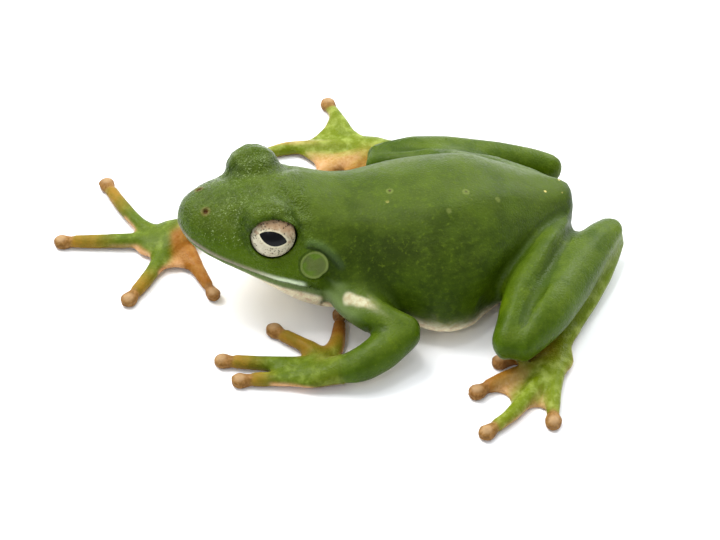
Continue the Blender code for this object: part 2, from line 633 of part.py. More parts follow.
def main():
    clear_scene()
    frog = new_collection(COLLECTION)
    cutters = new_collection(CUTTERS)
    flesh = flesh_object(frog)
    floor_cutter(cutters)
    head_cutters(cutters)
    for side in (LEFT, RIGHT):
        arm_cutters(cutters, side)
        leg_cutters(cutters, side)
    for cutter in cutters.objects:
        cut(flesh, cutter)
    nodes = part_flesh(flesh)
    nodes.update(add_eyes(frog))
    paint(nodes)
    shift = centre_on_floor(nodes)
    print(f"{len(nodes)} nodes, moved by {[round(s / MM, 3) for s in shift]} mm")


main()
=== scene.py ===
"""The looks of a life-size green tree frog: one skin over the solids, two eyes, floor, light and camera."""

import math
from functools import partialmethod

import bmesh
import bpy
import numpy as np
from bpy.props import FloatProperty, FloatVectorProperty, IntProperty, PointerProperty
from mathutils import Matrix, Vector
from mathutils.bvhtree import BVHTree


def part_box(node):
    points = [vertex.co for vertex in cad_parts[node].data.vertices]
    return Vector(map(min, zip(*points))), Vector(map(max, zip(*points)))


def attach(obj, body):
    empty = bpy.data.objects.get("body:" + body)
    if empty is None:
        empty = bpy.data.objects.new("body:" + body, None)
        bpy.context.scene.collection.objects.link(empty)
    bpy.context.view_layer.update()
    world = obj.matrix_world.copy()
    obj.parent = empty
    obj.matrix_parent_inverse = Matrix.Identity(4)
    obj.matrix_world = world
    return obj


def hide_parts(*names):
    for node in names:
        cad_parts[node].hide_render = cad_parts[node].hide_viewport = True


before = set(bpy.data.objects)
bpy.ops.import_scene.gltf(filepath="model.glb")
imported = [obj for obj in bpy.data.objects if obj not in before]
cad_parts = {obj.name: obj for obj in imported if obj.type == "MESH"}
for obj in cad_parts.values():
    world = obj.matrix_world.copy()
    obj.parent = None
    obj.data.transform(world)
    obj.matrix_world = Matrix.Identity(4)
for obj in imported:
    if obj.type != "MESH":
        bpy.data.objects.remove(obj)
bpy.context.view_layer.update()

bl_info = {
    "name": "Green tree frog",
    "version": (1, 0, 0),
    "blender": (4, 5, 0),
    "location": "3D View > Sidebar > Frog",
    "description": "Builds the skin, the eyes and the studio of a life-size green tree frog",
    "category": "Object",
}

MM = 0.001
LEFT, RIGHT = "left", "right"
SIDES = (LEFT, RIGHT)
SIGNS = {LEFT: 1, RIGHT: -1}
FLESH = [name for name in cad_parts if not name.startswith("eye")]

# Places are in millimetres from the floor under the middle of the frog's chest, found back from its eyes.
# Places on the left side are mirrored to the right.
EYES = {side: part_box("eye_" + side) for side in SIDES}
EYE_SIZE = (EYES[LEFT][1].z - EYES[LEFT][0].z) / 2 / MM
EYE_AT = (6.1, -15.6, 13.95)
START = sum((corner for box in EYES.values() for corner in box), Vector()) / 4 - Vector((0, *EYE_AT[1:])) * MM

# Head
TYMPANUM = (9.1, -11.0, 10.4)
TYMPANUM_AXIS = (0.93, -0.12, 0.35)
TYMPANUM_SIZE = 1.62
NOSTRIL = (2.15, -23.2, 15.6)
SNOUT_EDGE = ((2.6, -24.2, 15.4), (4.4, -20.6, 16.0))
CHEEK_LINE = ((7.4, -18.4, 11.2), (9.0, -14.6, 10.7), (8.9, -12.8, 11.3))
MOUTH_FRONT = (-27.5, 12.45)
MOUTH_SLOPE = -1 / 3
MOUTH_CORNER = -9.4
# Height, place over the line of the mouth and width of its groove, the lip and the edge of the jaw
MOUTH_RELIEF = ((-0.2, -0.05, 0.2), (0.09, 0.55, 0.4), (0.04, -0.5, 0.35))
FOLD = (
    (8.4, -12.5, 12.2), (8.2, -11.4, 12.5), (8.6, -10.1, 12.1),
    (9.1, -9.0, 11.2), (9.8, -8.1, 9.8), (10.3, -7.4, 8.8),
)
FOLD_RISE = (-0.2, 0.25, 0.5)
# Where painted highlight specks lie thickest on the head's grains: a line and how wide
GLINT_LINES = (
    (((5.6, -17.4, 17.2), (6.9, -15.0, 17.4), (6.8, -13.0, 16.6)), 1.1),
    (((3.0, -21.9, 15.6), (4.8, -19.3, 15.7)), 0.8),
    (((4.2, -23.3, 14.1), (6.0, -19.8, 13.4)), 0.9),
    (((2.4, -19.0, 16.2), (3.6, -14.5, 17.2)), 1.6),
)

# Eyes: how far the wall round an eyeball stands off it on its two sides, and how far the lids' cutter reaches
CUP_WALL = (0.12, 0.56)
LID_REACH = 6 * MM
LID_BEHIND = math.radians(5)

# Trunk
RIDGE = (
    (5.6, -11.5, 15.4), (6.6, -6.0, 14.2), (7.6, 0.0, 14.2),
    (7.4, 6.0, 14.6), (5.4, 13.0, 13.4), (2.6, 20.5, 10.6),
)
SPINE = ((0.6, -8.0, 16.2), (2.4, 2.0, 15.6), (2.6, 10.0, 15.2), (1.2, 20.0, 11.4))
# A line along each side of the chest, and how wide the painted shade round it is
CHEST_SHADE = ((9.9, -4.2, 12.0), (10.6, 0.0, 11.5), (11.0, 4.0, 11.5))
CHEST_SHADE_WIDTH = 4.0
# Small dark specks with a pale rim on the back
SPECKS = ((3.8, 0.0, 15.2), (4.8, 9.7, 14.9), (7.8, 5.9, 14.4), (5.9, 13.6, 13.2))

# Limbs
PALMS = {
    ("hand", LEFT): (18.6, -13.0, 0), ("hand", RIGHT): (-9.7, -26.4, 0),
    ("foot", LEFT): (20.3, 17.8, 0), ("foot", RIGHT): (-20.0, 7.0, 0),
}
KNEES = {LEFT: (22.7, 11.6, 4.9), RIGHT: (-14.7, 3.0, 4.6)}
HEELS = {LEFT: (5.4, 28.9, 3.8), RIGHT: (-9.3, 25.2, 3.7)}
ELBOWS = {LEFT: (18.2, -1.0, 4.8), RIGHT: (-13.6, -13.0, 3.2)}
KNEE_FILLER, KNEE_FILLER_SIZE = (0.7, -0.2, -0.3), 1.85
SHOULDER = (12.2, -7.4, 8.2)
SHOULDER_PATCH = ((13.2, -7.8, 7.8), (14.6, -5.0, 7.8))
# The end of the groove between thigh and shank, over the left knee
KNEE_GROOVE = ((19.4, 14.0, 8.1), (21.0, 12.7, 7.9), (22.3, 12.0, 7.7), (23.5, 11.5, 7.2))
# Parts that lie against each other: depth and width of the line between them, and the joint it fades at
CREASES = (
    ("thigh_*", "shank_*", 1.5, 0.7, KNEES),
    ("shank_*", "tarsus_*", 0.9, 0.6, HEELS),
    ("shank_*", "foot_*", 0.7, 0.5, None),
    ("upper_arm_*", "forearm_*", 0.4, 0.6, ELBOWS),
    ("thigh_*", "trunk", 1.15, 0.75, None),
    ("upper_arm_*", "trunk", 0.45, 0.6, None),
)
CREASE_TOP = (8.8, 10.0)

# Tones that are laid over the main colours of the skin and the eyes
TONES = {
    # A painted sheen of the bright surroundings on the upward-facing skin
    "top": (0.071, 0.106, 0.009),
    "face": (0.078, 0.138, 0.0008),
    "bloom": (0.115, 0.18, 0.008),
    "grain": (0.17, 0.23, 0.02),
    "fold": (0.085, 0.14, 0.05),
    # Painted highlight specks
    "glint": (0.27, 0.34, 0.15),
    "limb_dark": (0.030, 0.060, 0.0006),
    "limb_light": (0.11, 0.165, 0.003),
    # Painted shade on the sides of the chest, with paler flecks in it
    "dusk": (0.016, 0.028, 0.0004),
    "dusk_fleck": (0.12, 0.18, 0.01),
    # Painted shade in the grooves
    "groove": (0.018, 0.034, 0.008),
    "speck_rim": (0.24, 0.28, 0.07),
    "speck": (0.05, 0.028, 0.012),
    "gold": (0.62, 0.52, 0.16),
    "drum": (0.125, 0.16, 0.045),
    "drum_blotch": (0.11, 0.22, 0.006),
    "drum_rim": (0.27, 0.33, 0.10),
    # Painted shade in a ring round each eardrum
    "drum_groove": (0.015, 0.03, 0.002),
    "jaw": (0.17, 0.235, 0.085),
    "under_dark": (0.68, 0.52, 0.34),
    "lip_front": (0.55, 0.42, 0.36),
    "olive_light": (0.19, 0.25, 0.04),
    "lime": (0.15, 0.20, 0.004),
    "lime_light": (0.30, 0.36, 0.07),
    "salmon_light": (0.36, 0.19, 0.045),
    "web_light": (0.74, 0.50, 0.30),
    "pad_light": (0.30, 0.155, 0.05),
    "pad_heart": (0.46, 0.31, 0.16),
    "nostril_rim": (0.20, 0.13, 0.045),
    "nostril": (0.075, 0.022, 0.006),
    "lid": (0.012, 0.014, 0.006),
    "iris_below": (0.54, 0.50, 0.37),
    "iris_vein": (0.17, 0.085, 0.035),
    "iris_vein_pale": (0.66, 0.62, 0.48),
    "iris_fleck": (0.03, 0.02, 0.012),
    "pupil_rim": (0.78, 0.73, 0.52),
    "iris_corner": (0.22, 0.10, 0.05),
    "iris_edge": (0.006, 0.006, 0.004),
    "pupil": (0.002, 0.002, 0.003),
}

# What the lamps and the camera look at
LAMPS_AIM = (2.0, -2.0, 8.0)
CAMERA_AIM = (8.865, -5.14, 8.0)
# Name, place from what it lights, size, power and colour of each lamp
LAMPS = (
    ("key", (-0.24, -0.2, 0.46), 0.36, 3.2, (1.0, 0.99, 0.97)),
    ("overhead", (-0.02, -0.04, 0.5), 0.05, 0.35, (1.0, 1.0, 1.0)),
    ("front", (0.28, -0.23, 0.33), 0.05, 0.2, (1.0, 1.0, 1.0)),
    ("rim", (-0.3, 0.32, 0.3), 0.3, 1.4, (0.95, 0.98, 1.0)),
)
# The even light is brightest this way, and this much weaker and stronger at its two ends
SKY_WAY = (-0.75, 0.2, 0.63)
SKY_RANGE = (0.5, 1.45)
SKY_COLOUR = (0.96, 0.98, 1.0, 1.0)
FLOOR_SIZE = 1.5
FLOOR_TONE = (0.9, 0.91, 0.93)


def place(point):
    """A point given in millimetres, in the frame's metres."""
    return START + Vector(point) * MM


def mirrored(point, side):
    """A point of the left side, on the side that is named."""
    return (point[0] * SIGNS[side], *point[1:])


# ---- sizes and colours


class SkinSettings(bpy.types.PropertyGroup):
    voxel: FloatProperty(
        name="Grain", description="Side of the cells the skin is fused from", default=0.2 * MM, unit="LENGTH"
    )
    swell: FloatProperty(
        name="Swell", description="How far the parts grow before they fuse, to close their gaps",
        default=0.2 * MM, unit="LENGTH",
    )
    limit: IntProperty(name="Triangles", description="Most triangles the skin may have", default=190000)
    opening: FloatProperty(
        name="Lid opening", description="Half angle of the eye's opening, from lid to lid",
        default=math.radians(55.5), subtype="ANGLE",
    )
    widening: FloatProperty(
        name="Lid widening", description="How much wider the opening is from corner to corner",
        default=math.radians(11), subtype="ANGLE",
    )
    lid: FloatProperty(
        name="Lid", description="Thickness of the lid's margin", default=0.26 * MM, unit="LENGTH"
    )
    back: FloatVectorProperty(
        name="Back", description="Green of the back", default=(0.050, 0.090, 0.001), subtype="COLOR"
    )
    # The deep green is also laid as painted shade in the hollows and the flank's wrinkles
    deep: FloatVectorProperty(
        name="Deep green", description="Green in the hollows", default=(0.020, 0.040, 0.0005), subtype="COLOR"
    )
    leaf: FloatVectorProperty(
        name="Leaf green", description="Bright green of the face, arms and legs",
        default=(0.052, 0.098, 0.0006), subtype="COLOR",
    )
    pale: FloatVectorProperty(
        name="Underside", description="Cream of throat and belly", default=(0.86, 0.80, 0.56), subtype="COLOR"
    )
    lip: FloatVectorProperty(
        name="Lip", description="White stripe of the upper lip", default=(0.72, 0.84, 0.58), subtype="COLOR"
    )
    olive: FloatVectorProperty(
        name="Hand", description="Olive of the backs of the hands and feet",
        default=(0.085, 0.125, 0.004), subtype="COLOR",
    )
    tan: FloatVectorProperty(
        name="Digit", description="Yellowish brown of the digits behind the pads",
        default=(0.26, 0.145, 0.013), subtype="COLOR",
    )
    salmon: FloatVectorProperty(
        name="Inner digit", description="Orange of the inner fingers and toes",
        default=(0.24, 0.088, 0.008), subtype="COLOR",
    )
    web: FloatVectorProperty(
        name="Web", description="Pale orange of the webs", default=(0.47, 0.235, 0.085), subtype="COLOR"
    )
    pad: FloatVectorProperty(
        name="Pad", description="Brown of the pads", default=(0.165, 0.072, 0.016), subtype="COLOR"
    )


class EyeSettings(bpy.types.PropertyGroup):
    pitch: FloatProperty(
        name="Pitch", description="How far up the eye looks", default=math.radians(26), subtype="ANGLE"
    )
    yaw: FloatProperty(
        name="Yaw", description="How far forward the eye looks", default=math.radians(8), subtype="ANGLE"
    )
    tilt: FloatProperty(
        name="Tilt", description="How far the pupil's front end is raised",
        default=math.radians(-20), subtype="ANGLE",
    )
    iris: FloatVectorProperty(
        name="Iris", description="Pale gold of the iris", default=(0.46, 0.42, 0.29), subtype="COLOR"
    )
    iris_top: FloatVectorProperty(
        name="Iris top", description="Pinkish tan above pupil", default=(0.38, 0.25, 0.14), subtype="COLOR"
    )
    pupil_width: FloatProperty(
        name="Pupil width", description="Length of the pupil", default=3.5 * MM, unit="LENGTH"
    )
    pupil_height: FloatProperty(
        name="Pupil height", description="Height of the pupil", default=1.85 * MM, unit="LENGTH"
    )


class StudioSettings(bpy.types.PropertyGroup):
    floor: FloatVectorProperty(
        name="Floor", description="Colour of the floor", default=(0.93, 0.94, 0.96), subtype="COLOR"
    )
    sky: FloatProperty(name="Surround", description="Strength of the even light", default=0.88)
    azimuth: FloatProperty(
        name="Azimuth", description="Camera's way round the frog", default=math.radians(77), subtype="ANGLE"
    )
    elevation: FloatProperty(
        name="Elevation", description="Camera's height above the floor",
        default=math.radians(43), subtype="ANGLE",
    )
    distance: FloatProperty(
        name="Distance", description="From the camera to what it looks at", default=0.3, unit="LENGTH"
    )
    lens: FloatProperty(name="Lens", description="Focal length in millimetres", default=120.0)


# ---- shader maths


class Value:
    """A shader socket that reads as a number in Python expressions."""

    def __init__(self, finish, socket):
        self.finish, self.socket = finish, socket

    def math(self, operation, *others, swap=False):
        terms = [self, *others]
        if swap:
            terms = terms[::-1]
        return self.finish.add("ShaderNodeMath", {"operation": operation}, dict(enumerate(terms)))

    __add__ = partialmethod(math, "ADD")
    __radd__ = partialmethod(math, "ADD", swap=True)
    __sub__ = partialmethod(math, "SUBTRACT")
    __rsub__ = partialmethod(math, "SUBTRACT", swap=True)
    __mul__ = partialmethod(math, "MULTIPLY")
    __rmul__ = partialmethod(math, "MULTIPLY", swap=True)
    __truediv__ = partialmethod(math, "DIVIDE")
    __pow__ = partialmethod(math, "POWER")
    least = partialmethod(math, "MINIMUM")
    most = partialmethod(math, "MAXIMUM")
    size = partialmethod(math, "ABSOLUTE")

    def step(self, low, high):
        """0 under low, 1 over high, smooth between; turned round where low is the higher."""
        settings = {"interpolation_type": "SMOOTHSTEP"}
        ends = {"From Min": min(low, high), "From Max": max(low, high), "To Min": 0.0, "To Max": 1.0}
        out = self.finish.add("ShaderNodeMapRange", settings, {"Value": self, **ends})
        return 1 - out if low > high else out

    def ring(self, radius, outer, inner):
        """1 on a ring of this radius round what the value is the distance from, 0 past its outer width."""
        return (self - radius).size().step(outer, inner)


class Finish:
    """A material under construction: makes its nodes, lays colour over colour and sets its shader."""

    def __init__(self, name, **constants):
        self.made = bpy.data.materials.new(name)
        self.made.use_nodes = True
        self.tree = self.made.node_tree
        self.shader = self.tree.nodes["Principled BSDF"]
        self.colour = None
        self.kept = {}
        for key, value in constants.items():
            self.shader.inputs[key.replace("_", " ").title().replace("Ior", "IOR")].default_value = value

    def add(self, kind, settings, sockets, output=0):
        node = self.tree.nodes.new(kind)
        for key, value in settings.items():
            setattr(node, key, value)
        for key, value in sockets.items():
            target = node.inputs[key]
            if isinstance(value, Value):
                self.tree.links.new(value.socket, target)
            else:
                target.default_value = value
        return Value(self, node.outputs[output])

    def drive(self, name, value):
        self.tree.links.new(value.socket, self.shader.inputs[name])

    def spot(self):
        return self.add("ShaderNodeTexCoord", {}, {}, "Object")

    def near(self, places):
        """How far a place on the surface is from the nearest of some points."""
        shortest = None
        for point in places:
            sockets = {0: self.spot(), 1: place(point)}
            far = self.add("ShaderNodeVectorMath", {"operation": "DISTANCE"}, sockets, "Value")
            shortest = far if shortest is None else shortest.least(far)
        return shortest

    def held(self, name):
        """A number kept on the mesh's points."""
        if name not in self.kept:
            self.kept[name] = self.add("ShaderNodeAttribute", {"attribute_name": name}, {}, "Fac")
        return self.kept[name]

    def noise(self, scale, detail=2.0, rough=0.5, stretch=None):
        where = self.spot()
        if stretch:
            where = self.add("ShaderNodeMapping", {}, {"Vector": where, "Scale": stretch})
        sockets = {"Vector": where, "Scale": scale, "Detail": detail, "Roughness": rough}
        return self.add("ShaderNodeTexNoise", {}, sockets, "Fac")

    def cells(self, scale, feature="F1"):
        sockets = {"Vector": self.spot(), "Scale": scale}
        return self.add("ShaderNodeTexVoronoi", {"feature": feature}, sockets, "Distance")

    def mix(self, share, first, second):
        """Mixes two colours, each a socket, three numbers or a name among the tones."""
        node = self.tree.nodes.new("ShaderNodeMix")
        node.data_type = "RGBA"
        node.clamp_factor = True
        slots = {s.identifier: s for s in node.inputs}
        for key, value in (("Factor_Float", share), ("A_Color", first), ("B_Color", second)):
            if isinstance(value, Value):
                self.tree.links.new(value.socket, slots[key])
            else:
                tone = TONES[value] if isinstance(value, str) else value
                slots[key].default_value = (*tone[:3], 1.0)
        return Value(self, {s.identifier: s for s in node.outputs}["Result_Color"])

    def lay(self, share, tone):
        """Lays a colour over the ones laid before."""
        self.colour = self.mix(share, self.colour, tone)

    def bump(self, height, distance, strength=1.0, under=None):
        sockets = {"Height": height, "Distance": distance, "Strength": strength}
        if under is not None:
            sockets["Normal"] = under
        return self.add("ShaderNodeBump", {}, sockets, "Normal")


# ---- fields on the skin's points


def smooth(value, low, high):
    t = np.clip((value - low) / (high - low), 0, 1)
    return t * t * (3 - 2 * t)


def bell(distance, width):
    return np.exp(-((distance / width) ** 2))


def to_line(points, line):
    """Distance from each point to a bent line, and how far along it the nearest place is, from 0 to 1."""
    best = np.full(len(points), np.inf)
    along = np.zeros(len(points))
    corners = [np.array(corner, float) for corner in line]
    for i, (start, end) in enumerate(zip(corners, corners[1:])):
        span = end - start
        t = np.clip((points - start) @ span / (span @ span), 0, 1)
        far = np.linalg.norm(points - start - t[:, None] * span, axis=1)
        nearer = far < best
        best = np.where(nearer, far, best)
        along = np.where(nearer, (i + t) / (len(corners) - 1), along)
    return best, along


def noise_field(points, scale, seed):
    """A soft random field from a few sine waves, from about -1 to 1."""
    rng = np.random.default_rng(seed)
    total = np.zeros(len(points))
    for _ in range(12):
        way = rng.normal(size=3)
        way /= np.linalg.norm(way)
        total += np.sin(points @ way * scale * rng.uniform(0.6, 1.6) + rng.uniform(0, 6.28))
    return total / 5


def node_shape(name):
    """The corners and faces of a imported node."""
    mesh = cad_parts[name].data
    return [vert.co.copy() for vert in mesh.vertices], [tuple(face.vertices) for face in mesh.polygons]


class Surface:
    """The skin's points, in millimetres, with what is needed to push and to colour them."""

    def __init__(self, mesh):
        self.mesh = mesh
        self.read()
        count = len(mesh.edges)
        self.edges = np.zeros(count * 2, np.int64)
        mesh.edges.foreach_get("vertices", self.edges)
        self.edges = self.edges.reshape(-1, 2)
        self.degree = np.bincount(self.edges.ravel(), minlength=len(mesh.vertices)).astype(float)
        self.found = self.nearest_nodes()

    def read(self):
        count = len(self.mesh.vertices)
        flat = np.zeros(count * 3)
        self.mesh.vertices.foreach_get("co", flat)
        self.at = (flat.reshape(-1, 3) - np.array(START)) / MM
        flat = np.zeros(count * 3)
        self.mesh.vertex_normals.foreach_get("vector", flat)
        self.normal = flat.reshape(-1, 3)

    def write(self):
        flat = (self.at * MM + np.array(START)).ravel()
        self.mesh.vertices.foreach_set("co", flat)
        self.mesh.update()
        self.read()

    def nearest_nodes(self):
        """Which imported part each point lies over, as its place in FLESH."""
        corners, faces, owner = [], [], []
        for index, name in enumerate(FLESH):
            base = len(corners)
            more_corners, more_faces = node_shape(name)
            corners.extend(more_corners)
            faces.extend([base + i for i in face] for face in more_faces)
            owner.extend([index] * len(more_faces))
        tree = BVHTree.FromPolygons(corners, faces)
        return np.array([owner[tree.find_nearest(vert.co)[2]] for vert in self.mesh.vertices])

    def over(self, *kinds):
        """1 where a point lies over a part whose name starts with one of these words."""
        return np.array([name.startswith(kinds) for name in FLESH], float)[self.found]

    def push(self, height):
        """Moves each point along its normal, by millimetres."""
        self.at = self.at + self.normal * height[:, None]
        self.write()

    def spread(self, values, times):
        """Averages values with their neighbours' on the surface, several times."""
        first, second = self.edges.T
        count = len(values)
        for _ in range(times):
            total = np.bincount(first, values[second], count) + np.bincount(second, values[first], count)
            values = 0.5 * values + 0.5 * total / self.degree
        return values

    def relax(self, mask, times):
        """Smooths the surface where the mask is 1."""
        for _ in range(times):
            moved = np.stack([self.spread(self.at[:, i], 1) for i in range(3)], axis=1)
            self.at = self.at + (moved - self.at) * mask[:, None]
        self.write()

    def away(self, point):
        """Each point's distance from a place."""
        return np.linalg.norm(self.at - np.array(point), axis=1)

    def nearest(self, point):
        """The skin's point closest to a place."""
        return self.at[np.argmin(self.away(point))]

    def snapped(self, line, side):
        """A line of the left side, on the side that is named and laid on the skin."""
        return [self.nearest(mirrored(point, side)) for point in line]

    def mouth_height(self):
        """How far each point lies above the line of the mouth."""
        rise = self.at[:, 2] - MOUTH_FRONT[1] - MOUTH_SLOPE * (self.at[:, 1] - MOUTH_FRONT[0])
        return rise / math.hypot(1, MOUTH_SLOPE)

    def hold(self, name, values):
        """Keeps values on the mesh for the materials."""
        kept = self.mesh.attributes.new(name, "FLOAT", "POINT")
        kept.data.foreach_set("value", values.astype(np.float32))


# ---- skin in one piece


def eye_axis(side):
    """Which way an eye looks."""
    eyes = bpy.context.scene.frog_eyes
    level = math.cos(eyes.pitch)
    outwards = SIGNS[side] * level * math.cos(eyes.yaw)
    return Vector((outwards, -level * math.sin(eyes.yaw), math.sin(eyes.pitch)))


def lid_turn(side):
    """The turn that takes +Z to the middle of the lids' opening and +X along it, in line with the mouth."""
    axis = Vector((SIGNS[side] * 0.95, -0.03, 0.2)).normalized()
    along = Vector((0, 1, MOUTH_SLOPE))
    along = (along - axis * along.dot(axis)).normalized()
    return Matrix((along, axis.cross(along), axis)).transposed().to_4x4()


def eye_middle(side):
    return sum(EYES[side], Vector()) / 2


def new_object(name, bm):
    mesh = bpy.data.meshes.new(name)
    bm.to_mesh(mesh)
    bm.free()
    made = bpy.data.objects.new(name, mesh)
    bpy.context.scene.collection.objects.link(made)
    return made


def settle(made):
    """Carries out an object's modifiers and keeps the result."""
    graph = bpy.context.evaluated_depsgraph_get()
    graph.update()
    mesh = bpy.data.meshes.new_from_object(made.evaluated_get(graph))
    made.modifiers.clear()
    old = made.data
    made.data = mesh
    bpy.data.meshes.remove(old)


def drop(made):
    mesh = made.data
    bpy.data.objects.remove(made)
    bpy.data.meshes.remove(mesh)


def join(bm, part):
    """Adds one bmesh to another and frees it."""
    spare = bpy.data.meshes.new("spare")
    part.to_mesh(spare)
    part.free()
    bm.from_mesh(spare)
    bpy.data.meshes.remove(spare)


def merged_copy(node, swell):
    """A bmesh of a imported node, its points merged and pushed outwards."""
    bm = bmesh.new()
    bm.from_mesh(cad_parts[node].data)
    bmesh.ops.remove_doubles(bm, verts=bm.verts, dist=1e-6)
    bm.normal_update()
    for vert, way in [(vert, vert.normal.copy()) for vert in bm.verts]:
        vert.co += way * swell
    return bm


def knee_filler(side):
    """A small ball that fills the cleft inside a folded knee."""
    at = place(KNEES[side]) + Vector(mirrored(KNEE_FILLER, side)) * MM
    ball = bmesh.new()
    bmesh.ops.create_icosphere(
        ball, subdivisions=4, radius=KNEE_FILLER_SIZE * MM, matrix=Matrix.Translation(at)
    )
    return ball


def eye_cup(side):
    """A thin ball-shaped wall round an eye, so that the lids are as thick everywhere."""
    inner, outer = (EYE_SIZE * MM + gap * MM for gap in CUP_WALL)
    bm = bmesh.new()
    bmesh.ops.create_uvsphere(bm, u_segments=64, v_segments=32, radius=inner)
    bmesh.ops.reverse_faces(bm, faces=bm.faces[:])
    bmesh.ops.create_uvsphere(bm, u_segments=64, v_segments=32, radius=outer)
    bmesh.ops.translate(bm, verts=bm.verts, vec=eye_middle(side))
    return new_object("cup_" + side, bm)


def lid_cutter(side):
    """A cone from the eye's middle, as wide as the lids are open."""
    settings = bpy.context.scene.frog_skin
    high, wide = (math.tan(angle) for angle in (settings.opening, settings.opening + settings.widening))
    shape = Matrix.Diagonal((wide / high, 1, 1, 1)) @ Matrix.Translation((0, 0, LID_REACH / 2))
    matrix = Matrix.Translation(eye_middle(side)) @ lid_turn(side) @ shape
    bm = bmesh.new()
    bmesh.ops.create_cone(
        bm, cap_ends=True, segments=48, matrix=matrix,
        radius1=0.02 * MM, radius2=LID_REACH * high, depth=LID_REACH,
    )
    return new_object("lid_cutter_" + side, bm)


def opened_head(swell):
    """The head and its eye cups, cut open to the width of the lids."""
    head = new_object("head_blank", merged_copy("head", swell))
    cups = {side: eye_cup(side) for side in SIDES}
    cutters = {side: lid_cutter(side) for side in SIDES}
    for side, cutter in cutters.items():
        for whole in (head, cups[side]):
            step = whole.modifiers.new("open_" + side, "BOOLEAN")
            step.operation = "DIFFERENCE"
            step.object = cutter
            step.solver = "EXACT"
    wholes = [head, *cups.values()]
    for whole in wholes:
        settle(whole)
    for cutter in cutters.values():
        drop(cutter)
    return wholes


def lid_ring(side):
    """The rounded margin of the lids, a ring that lies on the eyeball and is wider than high."""
    settings = bpy.context.scene.frog_skin
    angle = settings.opening + LID_BEHIND
    radius = EYE_SIZE * MM + settings.lid * 0.8
    middle = Vector((radius * math.sin(angle), 0, radius * math.cos(angle)))
    matrix = Matrix.Translation(middle) @ Matrix.Rotation(math.pi / 2, 4, "X")
    ring = bmesh.new()
    bmesh.ops.create_circle(ring, segments=12, radius=settings.lid, matrix=matrix)
    bmesh.ops.spin(
        ring, geom=ring.edges[:], cent=(0, 0, 0), axis=(0, 0, 1), angle=2 * math.pi, steps=72, use_merge=True
    )
    bmesh.ops.remove_doubles(ring, verts=ring.verts, dist=1e-7)
    for vert in ring.verts:
        round_axis = Vector((-vert.co.y, vert.co.x, 0)).normalized()
        more = settings.widening * round_axis.y**2
        vert.co = Matrix.Rotation(more, 3, round_axis) @ vert.co
    bmesh.ops.transform(ring, matrix=Matrix.Translation(eye_middle(side)) @ lid_turn(side), verts=ring.verts)
    return ring


def fused_skin():
    """One closed skin over every part but the eyes."""
    settings = bpy.context.scene.frog_skin
    bm = bmesh.new()
    for node in FLESH:
        if node != "head":
            join(bm, merged_copy(node, settings.swell))
    for side in SIDES:
        join(bm, knee_filler(side))
    for whole in opened_head(settings.swell):
        bm.from_mesh(whole.data)
        drop(whole)
    for side in SIDES:
        join(bm, lid_ring(side))
    skin = new_object("skin", bm)
    fuse = skin.modifiers.new("fuse", "REMESH")
    fuse.mode = "VOXEL"
    fuse.voxel_size = settings.voxel * 1
    settle(skin)
    return skin


def soften(surface):
    """Takes the facets out of the fused skin: much on the body, little on digits and lids."""
    digits = surface.over("finger", "toe", "hand", "foot")
    near_eye = np.zeros(len(digits))
    for side in SIDES:
        far, outside = eye_fields(surface, side)
        near_eye = np.maximum(near_eye, (1 - smooth(far, 3.9, 5.0)) * (1 - smooth(outside, 0.3, 0.7)))
    surface.relax((1 - digits) * (1 - near_eye), 30)
    surface.relax(0.35 * near_eye, 4)
    surface.relax(digits, 22)
    surface.push(0.12 * digits)


def thin_out(skin, surface):
    """Fewer triangles, most of them left on the head, the hands and the toes."""
    limit = bpy.context.scene.frog_skin.limit * 1
    near = np.maximum(surface.over("head", "lower_jaw", "finger", "toe"), surface.at[:, 1] < -6)
    share = surface.spread(1 - near, 6)
    group = skin.vertex_groups.new(name="thin")
    for level in range(1, 11):
        chosen = np.nonzero((share > (level - 1) / 10) & (share <= level / 10))[0]
        group.add(chosen.tolist(), level / 10, "REPLACE")
    triangles = sum(len(face.vertices) - 2 for face in skin.data.polygons)
    thin = skin.modifiers.new("thin", "DECIMATE")
    thin.ratio = min(1.0, limit / triangles)
    thin.vertex_group = group.name
    thin.vertex_group_factor = 1.0
    settle(skin)
    skin.vertex_groups.clear()


# ---- shape of the skin


def find_parts(surface):
    """How much each point belongs to the head, the trunk, the limbs and the digits."""
    surface.head = surface.spread(surface.over("head", "lower_jaw"), 6)
    surface.trunk = surface.spread(surface.over("trunk"), 6)
    surface.head_trunk = np.clip(surface.head + surface.trunk, 0, 1)
    limbs = ("upper_arm", "forearm", "thigh", "shank", "tarsus", "hand", "foot")
    surface.limbs = surface.spread(surface.over(*limbs), 20)
    surface.digits = surface.spread(surface.over("finger", "toe"), 3)


def eye_fields(surface, side):
    """For each point of the skin: its distance from the eye's middle, and how far outside the lids it is."""
    settings = bpy.context.scene.frog_skin
    turn = np.array(lid_turn(side).to_3x3())
    away = (surface.at - np.array(mirrored(EYE_AT, side))) @ turn
    far = np.maximum(np.linalg.norm(away, axis=1), 1e-6)
    flat = np.maximum(np.linalg.norm(away[:, :2], axis=1), 1e-6)
    angle = np.arccos(np.clip(away[:, 2] / far, -1, 1))
    return far, angle - settings.opening - settings.widening * (away[:, 0] / flat) ** 2


def crease(surface):
    """Deepens the lines where folded limbs lie against each other and against the body."""
    push = np.zeros(len(surface.at))
    for side in SIDES:
        for first, second, depth, width, joint in CREASES:
            pair = [name.replace("*", side) for name in (first, second)]
            for name, other in (pair, pair[::-1]):
                tree = BVHTree.FromPolygons(*node_shape(other))
                chosen = np.nonzero(surface.found == FLESH.index(name))[0]
                points = surface.mesh.vertices
                far = np.array([tree.find_nearest(points[i].co)[3] for i in chosen.tolist()]) / MM
                share = bell(far, width)
                if second == "trunk":
                    share *= 1 - smooth(surface.at[chosen, 2], *CREASE_TOP)
                if joint:
                    share *= smooth(surface.away(joint[side])[chosen], 0.8, 2.4)
                push[chosen] = np.maximum(push[chosen], depth * share)
    surface.push(-surface.spread(push, 2))
    surface.relax(smooth(push, 0.05, 0.2), 2)


